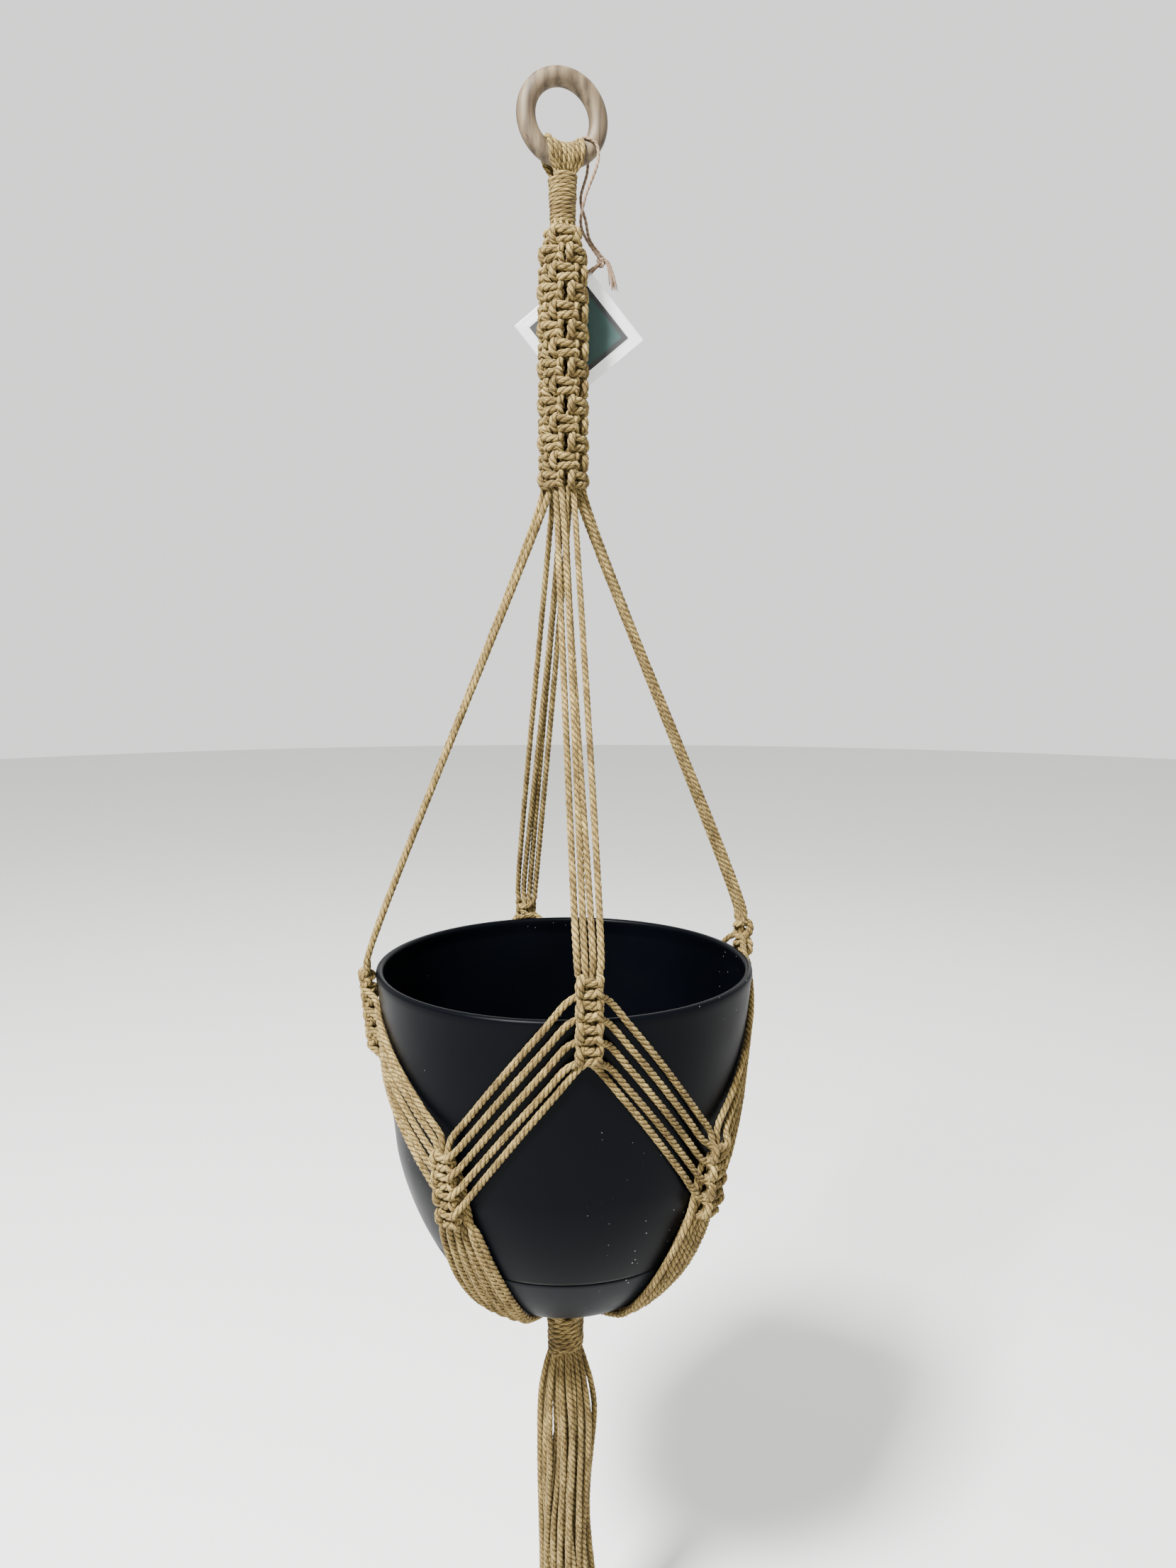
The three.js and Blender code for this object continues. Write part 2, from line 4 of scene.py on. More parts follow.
import bmesh
import bpy
import numpy as np
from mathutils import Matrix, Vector


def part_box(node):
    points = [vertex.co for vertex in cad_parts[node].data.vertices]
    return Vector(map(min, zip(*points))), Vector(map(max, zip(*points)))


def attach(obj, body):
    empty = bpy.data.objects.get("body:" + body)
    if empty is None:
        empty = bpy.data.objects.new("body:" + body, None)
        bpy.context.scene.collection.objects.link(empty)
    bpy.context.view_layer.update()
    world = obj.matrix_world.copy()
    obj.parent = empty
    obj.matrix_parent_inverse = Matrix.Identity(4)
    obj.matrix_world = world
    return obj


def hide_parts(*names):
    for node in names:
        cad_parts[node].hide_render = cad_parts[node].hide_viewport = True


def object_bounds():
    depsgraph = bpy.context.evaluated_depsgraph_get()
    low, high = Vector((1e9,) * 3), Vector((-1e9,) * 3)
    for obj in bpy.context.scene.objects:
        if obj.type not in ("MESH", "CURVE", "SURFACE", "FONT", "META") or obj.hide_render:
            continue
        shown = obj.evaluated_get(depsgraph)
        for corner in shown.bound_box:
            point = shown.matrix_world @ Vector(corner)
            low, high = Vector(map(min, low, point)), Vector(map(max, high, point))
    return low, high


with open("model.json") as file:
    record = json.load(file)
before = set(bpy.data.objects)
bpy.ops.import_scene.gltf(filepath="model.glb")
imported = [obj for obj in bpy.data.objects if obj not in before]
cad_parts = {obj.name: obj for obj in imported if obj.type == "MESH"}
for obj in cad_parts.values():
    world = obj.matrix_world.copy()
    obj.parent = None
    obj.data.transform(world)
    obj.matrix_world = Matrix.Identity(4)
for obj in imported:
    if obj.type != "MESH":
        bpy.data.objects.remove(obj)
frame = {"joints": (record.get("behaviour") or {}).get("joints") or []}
cad_low, cad_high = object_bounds()


# --- Camera, floor and light -------------------------------------------------------------
# The planter hangs in a pale room, seen from a little above the pot's rim, with its legs
# turned slightly away from square. A large window lights it from the upper left, and the
# floor is just below the tassel.
rim_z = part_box("pot")[1][2]
CAMERA_DISTANCE = 0.714
CAMERA_ABOVE_RIM = 0.2018
CAMERA_TURN = math.radians(-6.0)
CAMERA_PITCH = math.radians(7.25)
CAMERA_YAW = math.radians(1.17)
LENS = 27.03

camera_data = bpy.data.cameras.new("camera")
camera_data.sensor_width = 36.0
camera_data.lens = LENS
camera_data.clip_start = 0.01
camera = bpy.data.objects.new("camera", camera_data)
bpy.context.collection.objects.link(camera)
camera.location = (
    math.sin(CAMERA_TURN) * CAMERA_DISTANCE,
    -math.cos(CAMERA_TURN) * CAMERA_DISTANCE,
    rim_z + CAMERA_ABOVE_RIM,
)
camera.rotation_euler = (math.pi / 2 - CAMERA_PITCH, 0, CAMERA_TURN - CAMERA_YAW)
bpy.context.scene.camera = camera


def plain_material(name, color, roughness):
    material = bpy.data.materials.new(name)
    material.use_nodes = True
    shader = material.node_tree.nodes["Principled BSDF"]
    shader.inputs["Base Color"].default_value = (*color, 1)
    shader.inputs["Roughness"].default_value = roughness
    return material


def add_mesh(name, vertices, faces, materials):
    mesh = bpy.data.meshes.new(name)
    mesh.from_pydata([tuple(v) for v in vertices], [], faces)
    for material in materials:
        mesh.materials.append(material)
    mesh.update()
    piece = bpy.data.objects.new(name, mesh)
    bpy.context.collection.objects.link(piece)
    return piece


FLOOR_GAP = 0.03
floor_z = cad_low[2] - FLOOR_GAP
pale_floor = plain_material("pale_floor", (0.64, 0.64, 0.63), 0.95)
FLOOR_RADIUS = 7.0
FLOOR_SIDES = 96
floor = add_mesh(
    "floor",
    [(FLOOR_RADIUS * math.cos(math.tau * i / FLOOR_SIDES),
      FLOOR_RADIUS * math.sin(math.tau * i / FLOOR_SIDES), floor_z) for i in range(FLOOR_SIDES)],
    [tuple(range(FLOOR_SIDES))],
    [pale_floor],
)

world = bpy.data.worlds.new("room")
bpy.context.scene.world = world
world.use_nodes = True
world.node_tree.nodes["Background"].inputs["Color"].default_value = (0.97, 0.97, 0.96, 1)
world.node_tree.nodes["Background"].inputs["Strength"].default_value = 1.42


def add_light(name, place, aim, size, watts):
    data = bpy.data.lights.new(name, "AREA")
    data.shape = "SQUARE"
    data.size = size
    data.energy = watts
    light = bpy.data.objects.new(name, data)
    bpy.context.collection.objects.link(light)
    light.location = place
    direction = Vector(aim) - Vector(place)
    light.rotation_euler = direction.to_track_quat("-Z", "Y").to_euler()


pot_middle = (0, 0, rim_z)
add_light("window", (-1.0, -1.2, rim_z + 1.9), pot_middle, 0.45, 400)
add_light("room_fill", (1.8, -1.2, rim_z + 0.6), pot_middle, 1.6, 7)
add_light("back_fill", (0.6, 1.9, rim_z + 1.2), pot_middle, 1.6, 16)


# --- Cord: routes, lay and finish --------------------------------------------------------
# The hanger is tied from three-ply cotton cord, S-laid and a good 4 mm thick, and soft
# enough to pack down in its knots. Each cord is laid along its own route: three plies
# swept along the centreline, turning once in every lay length.
CORD_RADIUS = 0.0020
LAY_LENGTH = 0.0115
RING_SPACING = 0.00125
STRAND_PHASE = 2.4
UNEVEN_TURN = 2.2
UNEVEN_SWELL = 0.16
FIBRE_HEIGHT = 0.34


def smooth_route(points, widths, tags=None, spacing=0.0009):
    """A smooth line through given points, with each sample's width and tag."""
    points = np.array([tuple(p) for p in points], float)
    widths = np.array(widths, float)
    ends = np.vstack([2 * points[0] - points[1], points, 2 * points[-1] - points[-2]])
    knots = np.concatenate([[0], np.cumsum(np.linalg.norm(np.diff(ends, axis=0), axis=1) ** 0.5 + 1e-7)])
    line, width, tag = [], [], []
    for i in range(len(points) - 1):
        p0, p1, p2, p3 = ends[i:i + 4]
        t0, t1, t2, t3 = knots[i:i + 4]
        count = max(2, int(np.linalg.norm(p2 - p1) / spacing))
        t = np.linspace(t1, t2, count, endpoint=False)[:, None]
        a1 = (t1 - t) / (t1 - t0) * p0 + (t - t0) / (t1 - t0) * p1
        a2 = (t2 - t) / (t2 - t1) * p1 + (t - t1) / (t2 - t1) * p2
        a3 = (t3 - t) / (t3 - t2) * p2 + (t - t2) / (t3 - t2) * p3
        b1 = (t2 - t) / (t2 - t0) * a1 + (t - t0) / (t2 - t0) * a2
        b2 = (t3 - t) / (t3 - t1) * a2 + (t - t1) / (t3 - t1) * a3
        line.append((t2 - t) / (t2 - t1) * b1 + (t - t1) / (t2 - t1) * b2)
        share = ((t - t1) / (t2 - t1))[:, 0]
        width.append(widths[i] + (widths[i + 1] - widths[i]) * share)
        tag += [tags[i] if tags else None] * count
    line.append(points[-1:])
    width.append(widths[-1:])
    tag.append(tag[-1])
    return np.concatenate(line), np.concatenate(width), tag


def socket_id(tree, name):
    for item in tree.interface.items_tree:
        if item.item_type == "SOCKET" and item.in_out == "INPUT" and item.name == name:
            return item.identifier
    raise KeyError(name)


def make_cord_tree():
    """Route lines in, laid cord out. Each line's points carry width, strand and start."""
    tree = bpy.data.node_groups.new("lay_cord", "GeometryNodeTree")
    face = tree.interface
    face.new_socket("Route", in_out="INPUT", socket_type="NodeSocketGeometry")
    for name, value in (("Radius", CORD_RADIUS), ("Lay length", LAY_LENGTH),
                        ("Ring spacing", RING_SPACING), ("Ply depth", 0.27)):
        face.new_socket(name, in_out="INPUT", socket_type="NodeSocketFloat").default_value = value
    for name, value in (("Plies", 3), ("Sides", 18)):
        face.new_socket(name, in_out="INPUT", socket_type="NodeSocketInt").default_value = value
    face.new_socket("Finish", in_out="INPUT", socket_type="NodeSocketMaterial")
    face.new_socket("Cord", in_out="OUTPUT", socket_type="NodeSocketGeometry")
    nodes, links = tree.nodes, tree.links
    given = nodes.new("NodeGroupInput")

    def node(kind, **settings):
        made = nodes.new(kind)
        for key, value in settings.items():
            setattr(made, key, value)
        return made

    def math_node(operation, a, b=None):
        made = node("ShaderNodeMath", operation=operation)
        for i, value in enumerate((a, b)):
            if value is None:
                continue
            if isinstance(value, (int, float)):
                made.inputs[i].default_value = value
            else:
                links.new(value, made.inputs[i])
        return made.outputs[0]

    def named(attribute):
        made = node("GeometryNodeInputNamedAttribute", data_type="FLOAT")
        made.inputs["Name"].default_value = attribute
        return made.outputs["Attribute"]

    def store(geometry, attribute, value):
        made = node("GeometryNodeStoreNamedAttribute", data_type="FLOAT", domain="POINT")
        made.inputs["Name"].default_value = attribute
        links.new(geometry, made.inputs["Geometry"])
        links.new(value, made.inputs["Value"])
        return made.outputs["Geometry"]

    lines = node("GeometryNodeMeshToCurve")
    links.new(given.outputs["Route"], lines.inputs["Mesh"])
    rings = node("GeometryNodeResampleCurve")
    rings.mode = "LENGTH"
    links.new(lines.outputs["Curve"], rings.inputs["Curve"])
    links.new(given.outputs["Ring spacing"], rings.inputs["Length"])
    along = math_node("ADD", node("GeometryNodeSplineParameter").outputs["Length"], named("start"))
    turn = math_node("DIVIDE", math_node("MULTIPLY", along, -math.tau), given.outputs["Lay length"])
    turn = math_node("ADD", turn, math_node("MULTIPLY", named("strand"), STRAND_PHASE))

    def unevenness(value, stretch):
        place = node("ShaderNodeCombineXYZ")
        links.new(math_node("MULTIPLY", value, stretch), place.inputs["X"])
        made = node("ShaderNodeTexNoise", noise_dimensions="4D")
        made.inputs["Scale"].default_value = 1.0
        made.inputs["Detail"].default_value = 1.0
        links.new(place.outputs[0], made.inputs["Vector"])
        links.new(named("strand"), made.inputs["W"])
        return math_node("SUBTRACT", made.outputs[0], 0.5)

    turn = math_node("ADD", turn, math_node("MULTIPLY", unevenness(along, 70.0), UNEVEN_TURN))
    tilt = node("GeometryNodeSetCurveTilt")
    links.new(rings.outputs["Curve"], tilt.inputs["Curve"])
    links.new(turn, tilt.inputs["Tilt"])
    route = store(tilt.outputs["Curve"], "along", along)
    route = store(route, "turn", turn)
    radius = node("GeometryNodeSetCurveRadius")
    links.new(route, radius.inputs["Curve"])
    swell = math_node("ADD", math_node("MULTIPLY", unevenness(along, 180.0), UNEVEN_SWELL), 1.0)
    full = math_node("MULTIPLY", named("width"), given.outputs["Radius"])
    links.new(math_node("MULTIPLY", full, swell), radius.inputs["Radius"])

    section = node("GeometryNodeCurvePrimitiveCircle")
    section.mode = "RADIUS"
    section.inputs["Radius"].default_value = 1.0
    links.new(given.outputs["Sides"], section.inputs["Resolution"])
    around = math_node("MULTIPLY", node("GeometryNodeSplineParameter").outputs["Factor"], math.tau)
    ply = math_node("ABSOLUTE", math_node("COSINE", math_node(
        "MULTIPLY", math_node("MULTIPLY", around, 0.5), given.outputs["Plies"])))
    crest = math_node("POWER", ply, 0.75)
    reach = math_node("ADD", math_node("MULTIPLY", crest, given.outputs["Ply depth"]),
                      math_node("SUBTRACT", 1.0, given.outputs["Ply depth"]))
    outline = store(section.outputs["Curve"], "around", around)
    outline = store(outline, "crest", crest)
    shape = node("GeometryNodeSetPosition")
    links.new(outline, shape.inputs["Geometry"])
    scaled = node("ShaderNodeVectorMath", operation="SCALE")
    links.new(node("GeometryNodeInputPosition").outputs[0], scaled.inputs[0])
    links.new(reach, scaled.inputs["Scale"])
    links.new(scaled.outputs[0], shape.inputs["Position"])

    sweep = node("GeometryNodeCurveToMesh")
    links.new(radius.outputs["Curve"], sweep.inputs["Curve"])
    links.new(shape.outputs["Geometry"], sweep.inputs["Profile Curve"])
    sweep.inputs["Fill Caps"].default_value = True
    links.new(node("GeometryNodeInputRadius").outputs[0], sweep.inputs["Scale"])
    level = math_node("ADD", named("around"), named("turn"))
    swept = store(sweep.outputs["Mesh"], "fibre_x", math_node("COSINE", level))
    swept = store(swept, "fibre_y", math_node("SINE", level))
    fibres = node("ShaderNodeTexNoise", noise_dimensions="4D")
    fibres.inputs["Scale"].default_value = 1.0
    fibres.inputs["Detail"].default_value = 2.0
    spread = node("ShaderNodeCombineXYZ")
    links.new(math_node("MULTIPLY", named("fibre_x"), 3.2), spread.inputs["X"])
    links.new(math_node("MULTIPLY", named("fibre_y"), 3.2), spread.inputs["Y"])
    links.new(math_node("MULTIPLY", named("along"), 260.0), spread.inputs["Z"])
    links.new(spread.outputs[0], fibres.inputs["Vector"])
    links.new(named("strand"), fibres.inputs["W"])
    lift = math_node("MULTIPLY", math_node("SUBTRACT", fibres.outputs[0], 0.5),
                     math_node("MULTIPLY", given.outputs["Radius"], FIBRE_HEIGHT))
    raised = node("ShaderNodeVectorMath", operation="SCALE")
    links.new(node("GeometryNodeInputNormal").outputs[0], raised.inputs[0])
    links.new(lift, raised.inputs["Scale"])
    ruffle = node("GeometryNodeSetPosition")
    links.new(swept, ruffle.inputs["Geometry"])
    links.new(raised.outputs[0], ruffle.inputs["Offset"])
    shade = node("GeometryNodeSetShadeSmooth")
    links.new(ruffle.outputs["Geometry"], shade.inputs["Geometry"])
    real = node("GeometryNodeRealizeInstances")
    links.new(shade.outputs["Geometry"], real.inputs["Geometry"])
    finish = node("GeometryNodeSetMaterial")
    links.new(real.outputs["Geometry"], finish.inputs["Geometry"])
    links.new(given.outputs["Finish"], finish.inputs["Material"])
    result = node("NodeGroupOutput")
    links.new(finish.outputs["Geometry"], result.inputs["Cord"])
    return tree


cord_tree = make_cord_tree()


def make_cord_finish(name, deep, middle, pale, groove_shade):
    """Twisted yarn: bundles of fibres along the cord, painted shade in the valleys between plies, uneven
    dye.
    """
    material = bpy.data.materials.new(name)
    material.use_nodes = True
    nodes, links = material.node_tree.nodes, material.node_tree.links
    shader = nodes["Principled BSDF"]
    shader.inputs["Roughness"].default_value = 0.9
    shader.inputs["Sheen Weight"].default_value = 0.06
    shader.inputs["Sheen Roughness"].default_value = 0.5
    shader.inputs["Sheen Tint"].default_value = (1.0, 0.9, 0.68, 1)
    shader.inputs["Specular IOR Level"].default_value = 0.15

    def attribute(key):
        made = nodes.new("ShaderNodeAttribute")
        made.attribute_name = key
        return made.outputs["Fac"]

    def scaled(value, factor):
        made = nodes.new("ShaderNodeMath")
        made.operation = "MULTIPLY"
        links.new(value, made.inputs[0])
        made.inputs[1].default_value = factor
        return made.outputs[0]

    def added(first, second):
        made = nodes.new("ShaderNodeMath")
        made.operation = "ADD"
        links.new(first, made.inputs[0])
        links.new(second, made.inputs[1])
        return made.outputs[0]

    def fibre_noise(fineness, stretch):
        vector = nodes.new("ShaderNodeCombineXYZ")
        links.new(scaled(attribute("fibre_x"), fineness), vector.inputs["X"])
        links.new(scaled(attribute("fibre_y"), fineness), vector.inputs["Y"])
        links.new(scaled(attribute("along"), stretch), vector.inputs["Z"])
        made = nodes.new("ShaderNodeTexNoise")
        made.noise_dimensions = "4D"
        made.inputs["Scale"].default_value = 1.0
        made.inputs["Detail"].default_value = 2.0
        made.inputs["Roughness"].default_value = 0.65
        links.new(vector.outputs[0], made.inputs["Vector"])
        links.new(scaled(attribute("strand"), 7.3), made.inputs["W"])
        return made.outputs["Fac"]

    yarns = fibre_noise(5.0, 330.0)
    fibres = fibre_noise(16.0, 420.0)
    place = nodes.new("ShaderNodeTexCoord")
    dye = nodes.new("ShaderNodeTexNoise")
    dye.noise_dimensions = "4D"
    dye.inputs["Scale"].default_value = 70.0
    dye.inputs["Detail"].default_value = 2.0
    links.new(place.outputs["Object"], dye.inputs["Vector"])
    links.new(attribute("strand"), dye.inputs["W"])
    blend = added(added(scaled(yarns, 0.55), scaled(fibres, 0.35)), scaled(dye.outputs["Fac"], 0.30))
    tone = nodes.new("ShaderNodeValToRGB")
    tone.color_ramp.elements[0].position = 0.50
    tone.color_ramp.elements[0].color = (*deep, 1)
    tone.color_ramp.elements[1].position = 0.70
    tone.color_ramp.elements[1].color = (*pale, 1)
    tone.color_ramp.elements.new(0.60).color = (*middle, 1)
    links.new(blend, tone.inputs["Fac"])

    # The groove colour is painted shade: the crest mask (roughened by the yarn noise) blends it in where
    # the plies meet, in the valleys they would shade.
    shade = nodes.new("ShaderNodeMix")
    shade.data_type = "RGBA"
    depth = nodes.new("ShaderNodeMapRange")
    links.new(added(attribute("crest"), scaled(yarns, 0.35)), depth.inputs["Value"])
    depth.inputs["From Min"].default_value = 0.20
    depth.inputs["From Max"].default_value = 0.95
    links.new(depth.outputs["Result"], shade.inputs["Factor"])
    shade.inputs["A"].default_value = (*groove_shade, 1)
    links.new(tone.outputs["Color"], shade.inputs["B"])
    links.new(shade.outputs["Result"], shader.inputs["Base Color"])

    bump = nodes.new("ShaderNodeBump")
    bump.inputs["Strength"].default_value = 0.8
    bump.inputs["Distance"].default_value = 0.0007
    links.new(added(scaled(yarns, 0.6), scaled(fibres, 0.4)), bump.inputs["Height"])
    links.new(bump.outputs["Normal"], shader.inputs["Normal"])
    return material


# The groove colour is the painted shade between the plies.
cotton = make_cord_finish(
    "khaki_cotton", deep=(0.049, 0.030, 0.0075), middle=(0.128, 0.086, 0.026),
    pale=(0.31, 0.225, 0.078), groove_shade=(0.018, 0.010, 0.003))


def lay_cords(name, routes, body, stands_for, finish=None, **sizes):
    """Lays cords as one piece. A route is (centreline, widths, strand number), and where
    it carries on from another piece also the length laid before it."""
    vertices, edges, widths, strands, starts = [], [], [], [], []
    for line, width, strand, *start in routes:
        first = len(vertices)
        vertices += [tuple(p) for p in line]
        widths += list(width)
        strands += [float(strand)] * len(line)
        starts += [float(start[0]) if start else 0.0] * len(line)
        edges += [(i, i + 1) for i in range(first, len(vertices) - 1)]
    mesh = bpy.data.meshes.new(name + "_route")
    mesh.from_pydata(vertices, edges, [])
    for key, values in (("width", widths), ("strand", strands), ("start", starts)):
        mesh.attributes.new(key, "FLOAT", "POINT").data.foreach_set("value", values)
    piece = bpy.data.objects.new(name, mesh)
    bpy.context.collection.objects.link(piece)
    modifier = piece.modifiers.new("cord", "NODES")
    modifier.node_group = cord_tree
    modifier[socket_id(cord_tree, "Finish")] = finish or cotton
    for key, value in sizes.items():
        modifier[socket_id(cord_tree, key.replace("_", " "))] = value
    graph = bpy.context.evaluated_depsgraph_get()
    laid = bpy.data.meshes.new_from_object(piece.evaluated_get(graph), depsgraph=graph)
    laid.name = name
    piece.modifiers.clear()
    piece.data = laid
    bpy.data.meshes.remove(mesh)
    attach(piece, body)
    for node in stands_for:
        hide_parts(node)
    return piece


# --- Tassel ------------------------------------------------------------------------------
# Below the bottom wrap all forty cord ends hang loose. They leave the wrap packed tight,
# fall in soft waves of their own and are cut off bare, not quite level.
tassel_low, tassel_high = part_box("tassel")
TASSEL_TUCK = 0.008
TASSEL_ENDS = 40
rng = np.random.default_rng(7)
wrap_inside = 0.0082
tassel_spread = (tassel_high[0] - tassel_low[0]) / 2 - 0.0032
GOLDEN = math.pi * (3 - math.sqrt(5))


def tassel_route(index):
    share = math.sqrt((index + 0.5) / TASSEL_ENDS)
    angle = index * GOLDEN
    length = tassel_high[2] - tassel_low[2] - 0.002 - 0.012 * rng.random() * (1 - 0.4 * share)
    phase = rng.random() * math.tau
    wave = 0.0014 + 0.0024 * rng.random()
    swell = 0.88 + 0.27 * rng.random()
    points, widths = [], []
    stops = 15
    for i in range(stops):
        t = i / (stops - 1)
        fall = t * length
        grown = 1 - (1 - min(1, fall / 0.055)) ** 2
        radius = share * (wrap_inside + (tassel_spread - wrap_inside) * grown * swell)
        radius = min(radius, tassel_spread)
        bend = wave * math.sin(phase + t * 9.0) * min(1, t * 5)
        turn = angle + 0.10 * math.sin(phase + t * 5) * min(1, t * 3)
        points.append((
            radius * math.cos(turn) + bend * math.cos(phase),
            radius * math.sin(turn) + bend * math.sin(phase),
            tassel_high[2] + TASSEL_TUCK - fall - t * TASSEL_TUCK,
        ))
        widths.append(0.76 + 0.28 * min(1, t * 6))
    return smooth_route(points, widths)


for end in range(TASSEL_ENDS):
    line, width, _ = tassel_route(end)
    strand = lay_cords(
        f"tassel_strand_{end + 1:02d}", [(line, width, end)], "tassel",
        ("tassel",), Ring_spacing=0.0015, Ply_depth=0.17)


# --- Knots -------------------------------------------------------------------------------
# A square knot has two working cords and two fillers. The left cord crosses in front and
# back again, as two bars. The right cord passes behind, comes up through the loop on the
# left, runs down over both bars there as a bump, and passes behind again.
FILLER_PLACE = 1.75
FILLER_PACKING = 0.95
LEFT_CORD = [
    (-5.6, 0.0, 0.00), (-4.9, 2.3, -0.10), (-2.2, 3.7, -0.19), (0.6, 3.9, -0.24),
    (3.4, 3.0, -0.28), (5.4, 1.0, -0.34), (6.3, -0.4, -0.45), (5.9, 0.8, -0.57),
    (4.2, 2.9, -0.67), (1.4, 3.9, -0.73), (-1.4, 3.6, -0.77), (-4.0, 2.0, -0.81),
    (-5.6, 0.0, -0.89),
]
LEFT_WIDTHS = [0.95, 1.12, 1.26, 1.30, 1.25, 1.08, 0.98, 1.06, 1.24, 1.30, 1.26, 1.10, 0.96]
LEFT_HIDDEN = (5, 11)
RIGHT_CORD = [
    (5.6, 0.4, 0.00), (5.8, 3.2, -0.12), (5.5, 4.2, -0.25), (5.0, 2.0, -0.37),
    (3.6, -1.8, -0.40), (0.6, -3.7, -0.34), (-2.6, -2.8, -0.24), (-4.0, 0.4, -0.12),
    (-4.3, 3.4, -0.06), (-5.2, 4.9, -0.20), (-5.7, 5.2, -0.42), (-5.5, 5.0, -0.64),
    (-5.0, 3.2, -0.80), (-3.8, -0.8, -0.88), (-1.2, -3.6, -0.86), (2.0, -3.4, -0.76),
    (3.8, -0.4, -0.64), (4.3, 3.0, -0.58), (5.2, 4.4, -0.68), (5.7, 3.0, -0.86),
]
RIGHT_WIDTHS = [1.0, 1.12, 1.18, 1.05, 0.88, 0.84, 0.88, 1.0, 1.18, 1.28,
                1.30, 1.28, 1.15, 0.95, 0.84, 0.84, 0.92, 1.10, 1.15, 1.05]
RIGHT_HIDDEN = (5, 15)
MM = 0.001


class Strand:
    """One cord's route as it is tied: its points, widths, and the piece each belongs to."""

    def __init__(self):
        self.points, self.widths, self.tags = [], [], []

    def add(self, point, tag, width=1.0):
        self.points.append(tuple(point))
        self.widths.append(width)
        self.tags.append(tag)


def tie_working(strand, side, seat, tag_before, tag_knot, tag_after, packed=1.0, skip=0):
    """Adds one working cord of a knot. Its piece changes where the cord is out of sight."""
    path, widths, hidden = (
        (LEFT_CORD, LEFT_WIDTHS, LEFT_HIDDEN) if side < 0
        else (RIGHT_CORD, RIGHT_WIDTHS, RIGHT_HIDDEN))
    for i in range(skip, len(path)):
        tag = tag_before if i < hidden[0] else tag_after if i >= hidden[1] else tag_knot
        strand.add(seat(*path[i]), tag, packed * widths[i])


def tie_filler(strand, x, seat, tag_before, tag_knot, tag_after):
    strand.add(seat(x, 0, -0.24), tag_before, FILLER_PACKING)
    strand.add(seat(x, 0, -0.50), tag_knot, FILLER_PACKING)
    strand.add(seat(x, 0, -0.76), tag_after, FILLER_PACKING)


# --- Crown -------------------------------------------------------------------------------
# Sixteen cord ends hang from the ring. Below the top wrap they are tied into a hollow
# sleeve: rows of four square knots, each row turned an eighth of a turn from the last, so
# that every knot takes two cords from each of its upper neighbours.
crown_low, crown_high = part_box("crown")
CROWN_ROWS = 14
row_pitch = (crown_high[2] - crown_low[2]) / CROWN_ROWS
CROWN_SEAT = 0.0090
CROWN_SIDE = 0.0102
CROWN_PACKING = 0.90
legs = {"right": 12.0, "back": 97.0, "left": 180.0, "front": 270.0}
LEG_NAMES = list(legs)


def crown_seat(azimuth, top, row):
    """Places a knot's point on the sleeve. The first rows are drawn in under the wrap."""
    drawn = 1 - 0.26 * math.exp(-row / 0.9)

    def seat(x, y, z):
        angle = azimuth + x * MM / (CROWN_SIDE * drawn) * (0.92 + 0.08 * drawn)
        radius = (CROWN_SEAT + y * 0.98 * MM) * drawn
        return (radius * math.cos(angle), radius * math.sin(angle), top + (z * 0.98 - 0.02) * row_pitch)

    return seat


def tie_crown():
    """Returns the sixteen strands, four to each leg, in left-to-right order."""
    groups = []
    for k in range(4):
        azimuth = math.radians(90 * k)
        four = [Strand() for _ in range(4)]
        for i, strand in enumerate(four):
            start = azimuth + (i - 1.5) * 0.0034 / 0.0062
            for up, radius in ((0.016, 0.0046), (0.005, 0.0054)):
                strand.add((radius * math.cos(start), radius * math.sin(start),
                            crown_high[2] + up), "crown", 0.8)
        groups.append(four)
    azimuths = [math.radians(90 * k) for k in range(4)]
    for row in range(CROWN_ROWS):
        top = crown_high[2] - row * row_pitch
        last = row == CROWN_ROWS - 1
        for four, azimuth in zip(groups, azimuths):
            seat = crown_seat(azimuth, top, row)
            left_leg = leg_tag(azimuth - math.pi / 4) if last else "crown"
            right_leg = leg_tag(azimuth + math.pi / 4) if last else "crown"
            tie_working(four[0], -1, seat, "crown", "crown", left_leg, CROWN_PACKING)
            tie_filler(four[1], -FILLER_PLACE, seat, "crown", "crown", left_leg)
            tie_filler(four[2], FILLER_PLACE, seat, "crown", "crown", right_leg)
            tie_working(four[3], 1, seat, "crown", "crown", right_leg, CROWN_PACKING)
        groups = [
            [groups[k][2], groups[k][3], groups[(k + 1) % 4][0], groups[(k + 1) % 4][1]]
            for k in range(4)
        ]
        azimuths = [azimuth + math.pi / 4 for azimuth in azimuths]
    return groups, azimuths


def leg_tag(azimuth):
    return "leg_" + LEG_NAMES[round(math.degrees(azimuth) / 90) % 4]


crown_groups, crown_azimuths = tie_crown()
leg_strands = {}
for four, azimuth in zip(crown_groups, crown_azimuths):
    leg_strands[leg_tag(azimuth)[4:]] = four


# --- The pot's outside, which the net lies on --------------------------------------------
# The pot tapers straight from its rim to a shoulder and is rounded in from there to the
# flat base of its saucer. These are the sizes it was moulded to.
pot_low, pot_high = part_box("pot")
saucer_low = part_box("saucer")[0]
POT_RADIUS = (pot_high[0] - pot_low[0]) / 2
POT_HEIGHT = rim_z - saucer_low[2]
POT_TAPER = 0.095
SHOULDER_DEPTH = 0.109
BASE_RADIUS = 0.052
ROUNDNESS = 1.6


